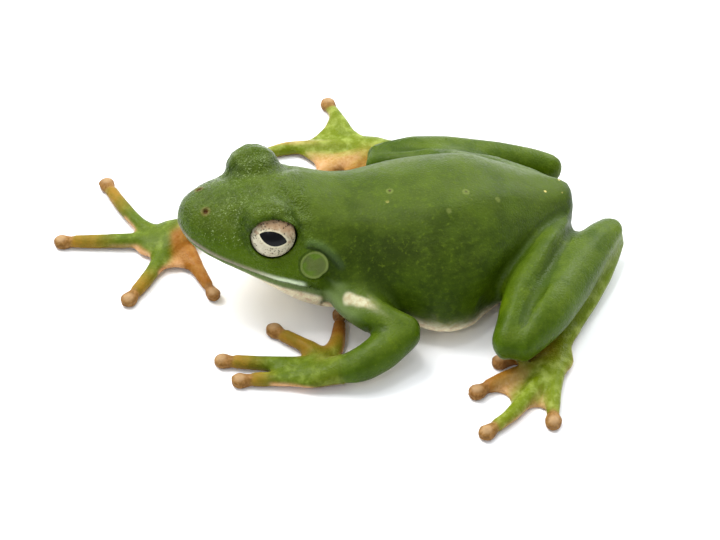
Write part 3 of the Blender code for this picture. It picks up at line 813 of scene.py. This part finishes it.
def shape_body(surface):
    """Ridges of the back, muscles and fine wrinkles."""
    at, trunk, limbs = surface.at, surface.trunk, surface.limbs
    push = np.zeros(len(at))
    for side in SIDES:
        far, along = to_line(at, [mirrored(p, side) for p in RIDGE])
        push += 0.28 * bell(far, 1.3) * smooth(along, 0.0, 0.2) * (1 - smooth(along, 0.8, 1.0)) * trunk
    far, _ = to_line(at, SPINE)
    push -= 0.14 * bell(far, 1.6) * trunk
    flank = trunk * smooth(np.abs(at[:, 0] - 2.0), 7.0, 10.5) * (1 - smooth(at[:, 2], 9.5, 12.5))
    waves = np.sin(at[:, 2] * 7.5 + 1.6 * noise_field(at, 0.35, 3)) * (0.5 + 0.5 * noise_field(at, 0.5, 4))
    push += 0.035 * waves * flank
    arm = surface.spread(surface.over("upper_arm_left"), 10)
    push -= 0.5 * arm * smooth(surface.normal[:, 2], 0.1, 0.8) * (1 - smooth(at[:, 0], 14.0, 17.5))
    push += 0.05 * noise_field(at, 1.1, 5) * limbs
    push += 0.05 * noise_field(at, 0.9, 6) * trunk
    push += 0.02 * noise_field(at, 3.2, 7) * (trunk + surface.head)
    surface.specks = [surface.nearest(speck) for speck in SPECKS]
    for speck in surface.specks:
        push += 0.15 * bell(surface.away(speck), 0.4)
    surface.push(push)


def blend_joints(surface):
    """Lets the shoulder run into the flank, and the groove of the folded leg run out at the knee."""
    surface.relax(np.clip(1.4 * bell(surface.away(SHOULDER), 2.6), 0, 1), 40)
    for knee in KNEES.values():
        away = surface.away(knee)
        surface.relax(smooth(away, 1.0, 1.6) * (1 - smooth(away, 2.0, 2.8)) * surface.limbs, 8)
    far, along = to_line(surface.at, KNEE_GROOVE)
    surface.knee_groove = bell(far, 0.5) * (1 - smooth(along, 0.55, 1.0)) * surface.limbs
    surface.push(-0.6 * surface.knee_groove)


def eardrum_relief(surface, side):
    """A sunk disc with a raised rim and a raised middle."""
    out = np.array(mirrored(TYMPANUM_AXIS, side))
    away = surface.at - surface.drum[side]
    deep = away @ out
    rim = np.linalg.norm(away - deep[:, None] * out, axis=1)
    shape = -0.16 * (1 - smooth(rim, 1.25, 1.6)) + 0.12 * bell(rim - 1.72, 0.22) + 0.1 * bell(rim, 0.8)
    this = (surface.at[:, 0] * SIGNS[side] > 0) * surface.head_trunk
    return this * (1 - smooth(np.abs(deep), 0.7, 1.1)) * shape


def fold_relief(surface, side):
    """The fold of skin from the eye over the eardrum, with a groove under it."""
    far, along = to_line(surface.at, surface.over_fold[side])
    under, _ = to_line(surface.at, surface.fold[side])
    fade = smooth(along, 0.0, 0.12) * (1 - smooth(along, 0.75, 1.0)) * surface.head_trunk
    return fade * (0.22 * bell(far, 0.5) - 0.3 * bell(under, 0.24))


def snout_relief(surface, side):
    """A rimmed nostril, a soft edge from it to the eye and a shallow line under the eye."""
    nose = surface.away(surface.nose[side])
    edge, _ = to_line(surface.at, [mirrored(p, side) for p in SNOUT_EDGE])
    cheek, _ = to_line(surface.at, [mirrored(p, side) for p in CHEEK_LINE])
    lines = 0.12 * bell(edge, 0.5) - 0.08 * bell(cheek, 0.4)
    return -0.34 * bell(nose, 0.26) + 0.1 * bell(nose - 0.5, 0.2) + lines * surface.head


def lid_relief(surface, side):
    """Rolled lids, with a groove round them and a hollow behind the bulge of the eye."""
    far, outside = eye_fields(surface, side)
    this = (surface.at[:, 0] * SIGNS[side] > 0) * surface.head
    roll = 0.05 * bell(outside - 0.16, 0.1) - 0.04 * bell(outside - 0.4, 0.08)
    hollow = 0.38 * smooth(outside, 0.5, 0.8) * bell(far - 4.75, 0.75)
    return this * ((1 - smooth(far, 4.4, 5.2)) * roll - hollow)


def shape_face(surface):
    """Lip, eardrums, the folds behind the eyes, nostrils and lids."""
    raised = [np.add(point, FOLD_RISE) for point in FOLD]
    surface.drum = {side: surface.nearest(mirrored(TYMPANUM, side)) for side in SIDES}
    surface.nose = {side: surface.nearest(mirrored(NOSTRIL, side)) for side in SIDES}
    surface.fold = {side: surface.snapped(FOLD, side) for side in SIDES}
    surface.over_fold = {side: surface.snapped(raised, side) for side in SIDES}
    over = surface.mouth_height()
    mouth = surface.head * (1 - smooth(surface.at[:, 1], MOUTH_CORNER - 0.8, MOUTH_CORNER + 0.6))
    push = sum(mouth * height * bell(over - middle, width) for height, middle, width in MOUTH_RELIEF)
    for side in SIDES:
        for relief in (eardrum_relief, fold_relief, snout_relief, lid_relief):
            push = push + relief(surface, side)
    surface.push(push)


def pad_places():
    """The middle and the way of each digit's pad, and the middle of the whole digit."""
    found = {}
    for name in FLESH:
        if not name.startswith(("finger", "toe")):
            continue
        kind, _, side = name.split("_")
        palm = sum(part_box(("hand_" if kind == "finger" else "foot_") + side), Vector()) / 2
        corners = [vert.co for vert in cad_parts[name].data.vertices]
        reach = max((corner - palm).to_2d().length for corner in corners)
        ends = [corner for corner in corners if (corner - palm).to_2d().length > reach - 2.3 * MM]
        middle = sum(ends, Vector()) / len(ends)
        middle.z = (min(corner.z for corner in ends) + max(corner.z for corner in ends)) / 2
        root = sum(corners, Vector()) / len(corners)
        way = middle - palm if (middle - root).length < 0.3 * MM else middle - root
        way.z = 0
        found[name] = ((middle - START) / MM, way.normalized(), (root - START) / MM)
    return found


def shape_digits(surface, pads):
    """Round pads with a groove round the front and a raised middle, and digits drawn in round them."""
    at = surface.at
    push = np.zeros(len(at))
    for middle, way, _ in pads.values():
        away = at - np.array(middle)
        flat = np.linalg.norm(away[:, :2], axis=1)
        on = 1 - smooth(flat, 1.5, 1.9)
        if not on.any():
            continue
        front = smooth(away @ np.array(way), -0.5, 0.3)
        push -= 0.09 * bell(away[:, 2] + 0.05, 0.16) * smooth(flat, 0.7, 1.0) * front * on
        push += 0.05 * bell(away[:, 2] - 0.35, 0.25) * front * on
        push += 0.07 * bell(flat, 0.6) * smooth(away[:, 2], 0.1, 0.5) * on
        inwards = surface.normal * (1.0, 1.0, 0.8)
        inwards[:, 2] = np.maximum(inwards[:, 2], 0)
        at = at - 0.18 * (1 - smooth(flat, 1.5, 2.1))[:, None] * inwards * surface.digits[:, None]
    surface.at = at
    surface.push(push)


# ---- where the skin has which colour


def paint_underside(surface):
    """Pale belly, throat and undersides, with an uneven edge, and a pale patch on the left shoulder."""
    x, y, z = surface.at.T
    over = surface.mouth_height()
    edge = 2.9 + 0.25 * noise_field(surface.at, 0.8, 11) + 0.5 * bell(y + 1.0, 4.0)
    belly = surface.trunk * (1 - smooth(z, edge - 0.2, edge + 0.7))
    throat = surface.spread(surface.over("lower_jaw"), 3) * smooth(-over, 0.6, 1.2)
    neck = (y < -6) * smooth(-over, 0.4, 1.2) * (1 - smooth(z, 5.8, 7.0)) * (1 - smooth(y, -8.2, -6.4))
    limbs = 0.75 * surface.limbs * smooth(-surface.normal[:, 2], 0.55, 0.95)
    pale = np.maximum.reduce([belly, throat, surface.trunk * neck, limbs])
    far, _ = to_line(surface.at, surface.snapped(SHOULDER_PATCH, LEFT))
    patch = (x > 0) * (1 - smooth(far + 0.2 * noise_field(surface.at, 2.5, 12), 0.45, 0.95))
    surface.hold("pale", surface.spread(np.clip(pale + 0.55 * patch, 0, 1), 2))


def paint_mouth(surface):
    """The lip's stripe, brightest under the ear, and the paler edge of the jaw and front of the arm."""
    x, y, _ = surface.at.T
    over = surface.mouth_height()
    bright = smooth(y, -20.0, -14.5)
    stripe = smooth(over, -0.05, 0.2) * (1 - smooth(over, 0.55, 0.95))
    lip = surface.head_trunk * (1 - smooth(y, MOUTH_CORNER - 3.4, MOUTH_CORNER - 2.6)) * stripe
    surface.hold("lip", surface.spread(lip * (0.35 + 0.65 * bright), 1))
    surface.hold("lip_bright", bright)
    below = smooth(-over, -0.05, 0.15) * (1 - smooth(-over, 0.6, 1.1))
    jaw = surface.head_trunk * (y < MOUTH_CORNER) * below
    arm = surface.over("upper_arm") * smooth(-surface.normal[:, 1], 0.25, 0.7)
    arm_front = arm * (1 - smooth(np.abs(x - 1.0), 13.5, 15.5))
    surface.hold("jaw", surface.spread(np.maximum(jaw, arm_front), 3))


def paint_eyes(surface):
    """Dark lid margins, painted highlight specks on the grains, and bright green under the eyes, on cheeks
    and limbs.
    """
    x, y, z = surface.at.T
    lid, leaf, granules = (np.zeros(len(x)) for _ in range(3))
    for side in SIDES:
        this = (x * SIGNS[side] > 0) * surface.head_trunk
        far, outside = eye_fields(surface, side)
        lid = np.maximum(lid, this * (1 - smooth(far, 3.06, 3.2)) * (1 - smooth(outside, 0.03, 0.1)))
        leaf = np.maximum(leaf, this * (1 - smooth(far, 5.0, 7.5)) * smooth(14.2 - z, 0, 2.5))
        for line, width in GLINT_LINES:
            far, _ = to_line(surface.at, surface.snapped(line, side))
            granules = np.maximum(granules, bell(far, width) * smooth(outside, 0.1, 0.3))
    cheek = smooth(surface.mouth_height(), 0.6, 1.5) * (1 - smooth(z, 11.0, 15.0))
    cheek *= surface.head * (1 - smooth(y, -12.0, -8.0))
    surface.hold("lid", lid)
    # Painted highlight specks on the grains of the head
    surface.hold("granules", granules * surface.head)
    surface.hold("leaf", surface.spread(np.maximum.reduce([leaf, cheek, surface.limbs * 0.85]), 10))


def paint_body(surface):
    """The top, for a painted sheen, the head, the limbs and the flanks, and painted shade in the hollows."""
    at, normal = surface.at, surface.normal
    # Upward-facing skin, which gets a painted sheen
    surface.hold("top", smooth(surface.spread(normal[:, 2], 10), 0.4, 0.85))
    surface.hold("limb", surface.limbs)
    surface.hold("face", surface.spread(surface.head, 12))
    surface.hold("flank", surface.spread(surface.trunk * smooth(np.abs(at[:, 0] - 1.0), 6.5, 9.5), 8))
    # how far the surface bends inwards, for painted shade in the hollows
    around = np.stack([surface.spread(at[:, i], 12) for i in range(3)], axis=1)
    surface.hold("hollow", np.clip(np.einsum("ij,ij->i", around - at, normal) * 6, -1, 1))


def paint_lines(surface):
    """The folds over the eardrums, painted shade in the grooves, and painted shade on each side of the chest.
    """
    fold, groove, dusk = (np.zeros(len(surface.at)) for _ in range(3))
    for side in SIDES:
        far, along = to_line(surface.at, surface.over_fold[side])
        ends = smooth(along, 0.0, 0.15) * (1 - smooth(along, 0.8, 1.0))
        fold = np.maximum(fold, bell(far, 0.45) * ends)
        far, _ = to_line(surface.at, surface.fold[side])
        groove = np.maximum(groove, bell(far, 0.2) * ends)
        far, _ = to_line(surface.at, [mirrored(p, side) for p in CHEST_SHADE])
        dusk = np.maximum(dusk, bell(far, CHEST_SHADE_WIDTH))
    surface.hold("fold", fold * surface.head_trunk)
    # Painted shade in the grooves under the folds and over the left knee
    surface.hold("groove", np.maximum(groove * surface.head_trunk, 0.5 * surface.knee_groove))
    # Painted shade on each side of the chest, off the limbs
    surface.hold("dusk", dusk * surface.head_trunk * (1 - surface.limbs))


def paint_limb_ends(surface, pads):
    """Hands and feet: olive above, orange inner digits and webs, tan towards the pads."""
    at, up = surface.at, surface.normal[:, 2]
    ground = at * (1, 1, 0)
    salmon, tan, web = (np.zeros(len(at)) for _ in range(3))
    for (kind, side), palm in PALMS.items():
        hand = kind == "hand"
        word, digits = ("finger", 4) if hand else ("toe", 5)
        names = [f"{word}_{n}_{side}" for n in range(1, digits + 1)]
        this = surface.over(f"{kind}_{side}", *names)
        lines = [(palm, (*root[:2], 0), (*tip[:2], 0)) for tip, _, root in (pads[name] for name in names)]
        far, run = (np.stack(rows) for rows in zip(*(to_line(ground, line) for line in lines)))
        along = run[np.argmin(far, axis=0), np.arange(len(at))]
        # how many digits on the inner side are orange
        inside = 1 if hand else 3
        beyond = far[inside:].min(axis=0) - far[:inside].min(axis=0)
        start = -0.3 if hand else 0.2
        salmon = np.maximum(salmon, this * smooth(beyond, start, start + 1.1) * smooth(along, -0.04, 0.06))
        # how high the webs reach, more between the inner toes
        top = 1.0 if hand else np.where(far[2] < far[4], 1.5, 0.55)
        between = smooth(far.min(axis=0), 0.8, 1.3) * (1 - smooth(at[:, 2], top, top + 0.5))
        web = np.maximum(web, this * between * smooth(along, 0.01, 0.08) * (1 - surface.digits))
        tan = np.maximum(tan, this * (smooth(along, 0.27, 0.52) if hand else smooth(along, 0.4, 0.65)))
        if hand and side == LEFT:
            second = smooth(far[2:].min(axis=0) - far[1], 0.2, 1.0)
            tan = np.maximum(tan, this * second * smooth(along, 0.1, 0.3))
            salmon *= 1 - 0.85 * this * smooth(up, 0.3, 0.8) * (1 - surface.over("finger_1"))
        salmon = np.maximum(salmon, this * 0.9 * smooth(-up, 0.3, 0.8))
    olive = surface.over("hand", "foot", "finger", "toe") + 0.7 * surface.over("tarsus")
    lime = surface.over("foot", "toe", "tarsus")
    for name, values, times in (
        ("olive", olive, 40), ("lime", lime, 30), ("salmon", salmon, 14), ("tan", tan, 6), ("web", web, 4),
    ):
        surface.hold(name, surface.spread(values, times))


def paint_pads(surface, pads):
    """Brown pads, paler in their middles."""
    middles = [np.array(middle)[:2] for middle, _, _ in pads.values()]
    flat = np.min([np.linalg.norm(surface.at[:, :2] - middle, axis=1) for middle in middles], axis=0)
    low = (surface.at[:, 2] < 2.6) * surface.digits
    surface.hold("pad", surface.spread(low * (1 - smooth(flat, 1.35, 1.9)), 2))
    surface.hold("pad_heart", low * (1 - smooth(flat, 0.35, 0.95)))


# ---- finish of the skin


def lay_greens(skin):
    """Green from deep to bright, with grain, painted shade in the wrinkles and hollows, a painted sheen on
    the top, painted highlight specks, patches on the limbs and painted shade on the chest.
    """
    colours, held, fine = bpy.context.scene.frog_skin, skin.held, skin.fine
    broad = skin.noise(140, 3.0)
    skin.colour = skin.mix(skin.noise(420, 3.0, 0.6).step(0.32, 0.7) * 0.75, colours.deep, colours.back)
    skin.lay(held("leaf") * (0.45 + 0.55 * broad.step(0.3, 0.6)), colours.leaf)
    # A painted sheen on the upward-facing skin, stronger in broad patches
    skin.lay(held("top") * (0.35 + 0.35 * broad.step(0.35, 0.62)), "top")
    skin.lay(held("leaf") * held("face") * 0.5, "face")
    skin.lay(fine.step(0.5, 0.8) * 0.3, "bloom")
    skin.lay(skin.cells(2600).step(0.30, 0.08) * 0.2, "grain")
    # Painted shade in the troughs of the flank's wrinkles and in the hollows
    skin.lay(held("flank") * skin.wrinkles.step(0.55, 0.35) * 0.45, colours.deep)
    skin.lay(held("hollow").step(0.05, 0.6) * 0.55, colours.deep)
    skin.lay(held("fold") * 0.6, "fold")
    # Painted highlights: pale specks on the grains, most along the lines above, a few over the whole face
    glint_specks = skin.cells(4200).step(0.42, 0.12) * fine.step(0.40, 0.58)
    skin.lay(glint_specks * (held("granules") * 0.8 + held("face") * 0.15), "glint")
    skin.lay(held("limb") * skin.patches.step(0.56, 0.36) * 0.75, "limb_dark")
    skin.lay(held("limb") * skin.patches.step(0.56, 0.72) * 0.4, "limb_light")
    # Painted shade on the sides of the chest, broken up, with paler flecks in it
    shadows = skin.noise(330, 5.0, 0.7)
    skin.lay(held("dusk") * (0.35 + 0.65 * shadows.step(0.38, 0.6)) * 0.85, "dusk")
    skin.lay(held("dusk") * fine.step(0.55, 0.75) * 0.5, "dusk_fleck")
    # Painted shade in the grooves under the folds and over the left knee
    skin.lay(held("groove") * 0.8, "groove")


def lay_marks(skin, surface):
    """Dark specks with pale rims, a few golden flecks, and the eardrums with a ring of painted shade round
    each.
    """
    speck = skin.near(surface.specks)
    skin.lay(speck.ring(0.34 * MM, 0.24 * MM, 0.05 * MM) * 0.3, "speck_rim")
    skin.lay(speck.step(0.27 * MM, 0.1 * MM) * 0.9, "speck")
    flecks = skin.cells(230).step(0.075, 0.05) * skin.noise(60, 1.0).step(0.56, 0.6)
    skin.lay(flecks * (1 - skin.held("pale")) * 0.85, "gold")
    drum = skin.near(surface.drum.values())
    inside = drum.step(TYMPANUM_SIZE * MM, 1.4 * MM)
    skin.lay(inside * 0.75, "drum")
    skin.lay(inside * skin.noise(500, 1.0).step(0.45, 0.6) * 0.6, "drum_blotch")
    skin.lay(drum.ring(TYMPANUM_SIZE * MM, 0.24 * MM, 0.04 * MM) * 0.5, "drum_rim")
    # Painted shade in a ring round each eardrum's rim
    skin.lay(drum.ring(1.9 * MM, 0.22 * MM, 0.04 * MM) * 0.5, "drum_groove")


def lay_pale(skin):
    """The edge of the jaw, the underside and the lip."""
    colours = bpy.context.scene.frog_skin
    skin.lay(skin.held("jaw") * 0.65, "jaw")
    skin.lay(skin.held("pale"), skin.mix(skin.fine.step(0.35, 0.7), colours.pale, "under_dark"))
    skin.lay(skin.held("lip"), skin.mix(skin.held("lip_bright"), "lip_front", colours.lip))


def lay_digits(skin):
    """Olive and lime backs, tan and orange digits, pale webs and brown pads."""
    colours, held, fine = bpy.context.scene.frog_skin, skin.held, skin.fine
    streak = skin.noise(700, 3.0, 0.6)
    olive = skin.mix(streak.step(0.45, 0.75) * 0.6, colours.olive, "olive_light")
    skin.lay(held("olive") * (0.6 + 0.4 * streak.step(0.35, 0.6)), olive)
    skin.lay(held("lime") * 0.65, skin.mix(streak.step(0.4, 0.7), "lime", "lime_light"))
    skin.lay(held("tan") * (0.7 + 0.3 * streak.step(0.35, 0.6)), colours.tan)
    skin.lay(held("salmon"), skin.mix(streak.step(0.35, 0.75) * 0.6, colours.salmon, "salmon_light"))
    skin.lay(held("web"), skin.mix(fine.step(0.3, 0.75) * 0.5, colours.web, "web_light"))
    skin.lay(held("pad") * 0.9, skin.mix(fine.step(0.35, 0.7), colours.pad, "pad_light"))
    skin.lay(held("pad_heart") * held("pad") * 0.55, "pad_heart")


def lay_openings(skin, surface):
    """Nostrils with tan rims, and the dark margins of the lids."""
    nose = skin.near(surface.nose.values())
    skin.lay(nose.ring(0.45 * MM, 0.35 * MM, 0.05 * MM) * 0.35, "nostril_rim")
    skin.lay(nose.step(0.46 * MM, 0.15 * MM), "nostril")
    skin.lay(skin.held("lid"), "lid")


def skin_finish(surface):
    """Moist green skin: mottled green, pits, wrinkles, flecks, and the pale, orange and brown parts."""
    skin = Finish("frog_skin", ior=1.4, specular_ior_level=0.13)
    skin.fine = skin.noise(1700, 3.0, 0.65)
    skin.patches = skin.noise(230, 5.0, 0.65)
    skin.wrinkles = skin.noise(520, 4.0, 0.6, stretch=(1.0, 0.28, 2.4))
    lay_greens(skin)
    lay_marks(skin, surface)
    lay_pale(skin)
    lay_digits(skin)
    lay_openings(skin, surface)
    skin.drive("Base Color", skin.colour)
    face, limb, fine = skin.held("face"), skin.held("limb"), skin.fine
    skin.drive("Roughness", 0.38 + 0.2 * fine.step(0.3, 0.75) - 0.18 * face - 0.12 * limb)
    pits = skin.cells(4500, "SMOOTH_F1")
    height = pits * (0.7 + 1.0 * face) + fine * (0.6 + 0.3 * face) + skin.patches * 0.8
    normal = skin.bump(skin.wrinkles * skin.held("flank"), 0.14 * MM, 0.9)
    skin.drive("Normal", skin.bump(height, 0.09 * MM, 0.85, normal))
    return skin.made


class FROG_OT_skin(bpy.types.Operator):
    """Makes the frog's skin in one piece and colours it"""

    bl_idname = "frog.skin"
    bl_label = "Skin"

    def execute(self, context):
        skin = fused_skin()
        surface = Surface(skin.data)
        surface.push(np.full(len(surface.at), -context.scene.frog_skin.swell / MM * 0.85))
        soften(surface)
        thin_out(skin, surface)
        surface = Surface(skin.data)
        find_parts(surface)
        pads = pad_places()
        for shape in (crease, shape_body, blend_joints, shape_face):
            shape(surface)
        shape_digits(surface, pads)
        surface.at[:, 2] = np.maximum(surface.at[:, 2], 0)
        surface.write()
        for paint in (paint_underside, paint_mouth, paint_eyes, paint_body, paint_lines):
            paint(surface)
        paint_limb_ends(surface, pads)
        paint_pads(surface, pads)
        skin.data.shade_smooth()
        skin.data.materials.clear()
        skin.data.materials.append(skin_finish(surface))
        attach(skin, "root")
        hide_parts(*FLESH)
        return {"FINISHED"}


# ---- eyes


def eye_ball(side):
    """An eyeball whose pole is the middle of the iris, with its place on the iris kept on its points."""
    size = EYE_SIZE * MM
    axis = eye_axis(side)
    up = (Vector((0, 0, 1)) - axis * axis.z).normalized()
    up = (Matrix.Rotation(SIGNS[side] * bpy.context.scene.frog_eyes.tilt, 3, axis) @ up).normalized()
    turn = Matrix((up.cross(axis), up, axis)).transposed().to_4x4()
    bm = bmesh.new()
    bmesh.ops.create_uvsphere(bm, u_segments=96, v_segments=64, radius=size)
    for vert in bm.verts:
        vert.co *= 1 - 0.05 * max(0.0, vert.co.z / size - 0.25)
    layers = [bm.verts.layers.float.new(name) for name in ("across", "rise", "deep")]
    for vert in bm.verts:
        for layer, value in zip(layers, vert.co):
            vert[layer] = value / size
    bmesh.ops.transform(bm, matrix=Matrix.Translation(eye_middle(side)) @ turn, verts=bm.verts)
    bmesh.ops.recalc_face_normals(bm, faces=bm.faces)
    return new_object("eyeball_" + side, bm)


def eye_finish():
    """Pale gold iris with dark flecks and veins, a black lens-shaped pupil and a thin black edge, wet."""
    eyes = bpy.context.scene.frog_eyes
    size = EYE_SIZE * MM
    wet = {"coat_roughness": 0.02, "coat_weight": 0.22, "coat_ior": 1.36}
    eye = Finish("frog_iris", roughness=0.3, specular_ior_level=0.1, **wet)
    across, rise, deep = (eye.held(name) for name in ("across", "rise", "deep"))
    radius = (across * across + rise * rise) ** 0.5
    half_width, half_height = eyes.pupil_width / size / 2, eyes.pupil_height / size / 2
    wobble = eye.noise(900, 2.0) * 0.05 - 0.025
    lens = (across / half_width).size() ** 1.75 + ((rise + wobble) / half_height).size() ** 1.35
    pupil = lens.step(1.06, 0.96)
    veins = eye.noise(1500, 4.0, 0.7)
    flecks = eye.cells(3000).step(0.46, 0.24) * eye.noise(1100, 2.0).step(0.40, 0.52)
    eye.colour = eye.mix((rise * 1.4 + veins * 0.5 - 0.25).step(0.05, 0.75), eyes.iris, eyes.iris_top)
    eye.lay((rise * -1.6).step(0.05, 0.6) * 0.6, "iris_below")
    eye.lay(veins.step(0.54, 0.68) * 0.65, "iris_vein")
    eye.lay(veins.step(0.46, 0.3) * 0.5, "iris_vein_pale")
    eye.lay(flecks * 0.85, "iris_fleck")
    eye.lay(lens.step(1.55, 1.1) * 0.5 * (1 - pupil), "pupil_rim")
    ends = (across.size() - half_width).step(0.0, 0.08) * rise.size().step(0.10, 0.02)
    eye.lay(ends * radius.step(0.86, 0.7) * 0.6, "iris_corner")
    edge = (radius + 0.02 * veins).most((0.2 - deep) * 4)
    eye.lay(edge.step(0.915, 0.95), "iris_edge")
    eye.lay(pupil, "pupil")
    eye.drive("Base Color", eye.colour)
    return eye.made


class FROG_OT_eyes(bpy.types.Operator):
    """Makes the two eyes"""

    bl_idname = "frog.eyes"
    bl_label = "Eyes"

    def execute(self, context):
        finish = eye_finish()
        for side in SIDES:
            ball = eye_ball(side)
            ball.data.shade_smooth()
            ball.data.materials.append(finish)
            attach(ball, "root")
            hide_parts("eye_" + side)
        return {"FINISHED"}


# ---- studio


def add_object(name, data, at, way):
    """Puts a lamp or a camera at a place, looking one way."""
    made = bpy.data.objects.new(name, data)
    made.location = at
    made.rotation_euler = way.to_track_quat("-Z", "Y").to_euler()
    bpy.context.scene.collection.objects.link(made)
    return made


def area_light(name, offset, size, power, colour):
    """A round soft lamp that looks at the frog."""
    lamp = bpy.data.lights.new(name, "AREA")
    lamp.shape = "DISK"
    lamp.size = size
    lamp.energy = power
    lamp.color = colour
    aim = place(LAMPS_AIM)
    at = aim + Vector(offset)
    add_object(name, lamp, at, aim - at)


def paper_floor(studio):
    bm = bmesh.new()
    bmesh.ops.create_circle(bm, cap_ends=True, segments=96, radius=FLOOR_SIZE)
    floor = new_object("floor", bm)
    finish = Finish("floor_paper", roughness=0.7, specular_ior_level=0.2)
    shade = finish.noise(6, 2.0).step(0.3, 0.7) * 0.15
    finish.drive("Base Color", finish.mix(shade, studio.floor, FLOOR_TONE))
    floor.data.materials.append(finish.made)


def surround(studio):
    """Even light from all round, a little stronger from one side."""
    world = bpy.data.worlds.new("surround")
    world.use_nodes = True
    tree = world.node_tree
    sky = tree.nodes["Background"]
    sky.inputs["Color"].default_value = SKY_COLOUR
    way = tree.nodes.new("ShaderNodeTexCoord")
    facing = tree.nodes.new("ShaderNodeVectorMath")
    facing.operation = "DOT_PRODUCT"
    facing.inputs[1].default_value = SKY_WAY
    fade = tree.nodes.new("ShaderNodeMapRange")
    weak, strong = (share * studio.sky for share in SKY_RANGE)
    for name, value in (("From Min", -0.5), ("From Max", 0.9), ("To Min", weak), ("To Max", strong)):
        fade.inputs[name].default_value = value
    tree.links.new(way.outputs["Generated"], facing.inputs[0])
    tree.links.new(facing.outputs["Value"], fade.inputs["Value"])
    tree.links.new(fade.outputs["Result"], sky.inputs["Strength"])
    bpy.context.scene.world = world


def add_camera(studio):
    round_it = Matrix.Rotation(studio.azimuth, 3, "Z") @ Matrix.Rotation(-studio.elevation, 3, "X")
    back = round_it @ Vector((0, -1, 0))
    lens = bpy.data.cameras.new("camera")
    lens.lens = studio.lens
    lens.sensor_width = 36
    lens.clip_start, lens.clip_end = 0.01, 10
    at = place(CAMERA_AIM) + back * studio.distance
    bpy.context.scene.camera = add_object("camera", lens, at, -back)


class FROG_OT_studio(bpy.types.Operator):
    """Makes the floor, the lights and the camera"""

    bl_idname = "frog.studio"
    bl_label = "Studio"

    def execute(self, context):
        studio = context.scene.frog_studio
        paper_floor(studio)
        surround(studio)
        context.scene.view_settings.view_transform = "Standard"
        for lamp in LAMPS:
            area_light(*lamp)
        add_camera(studio)
        return {"FINISHED"}


class FROG_PT_panel(bpy.types.Panel):
    """The frog's steps and settings"""

    bl_idname = "FROG_PT_panel"
    bl_label = "Green tree frog"
    bl_space_type = "VIEW_3D"
    bl_region_type = "UI"
    bl_category = "Frog"

    def draw(self, context):
        for operator, settings in (
            (FROG_OT_skin, context.scene.frog_skin),
            (FROG_OT_eyes, context.scene.frog_eyes),
            (FROG_OT_studio, context.scene.frog_studio),
        ):
            box = self.layout.box()
            box.operator(operator.bl_idname)
            for name in settings.__annotations__:
                box.prop(settings, name)


CLASSES = (
    SkinSettings, EyeSettings, StudioSettings, FROG_OT_skin, FROG_OT_eyes, FROG_OT_studio, FROG_PT_panel,
)


def register():
    for kind in CLASSES:
        bpy.utils.register_class(kind)
    bpy.types.Scene.frog_skin = PointerProperty(type=SkinSettings)
    bpy.types.Scene.frog_eyes = PointerProperty(type=EyeSettings)
    bpy.types.Scene.frog_studio = PointerProperty(type=StudioSettings)


def unregister():
    del bpy.types.Scene.frog_studio
    del bpy.types.Scene.frog_eyes
    del bpy.types.Scene.frog_skin
    for kind in reversed(CLASSES):
        bpy.utils.unregister_class(kind)


def main():
    register()
    bpy.ops.frog.studio()
    bpy.ops.frog.eyes()
    bpy.ops.frog.skin()


if __name__ == "__main__":
    main()
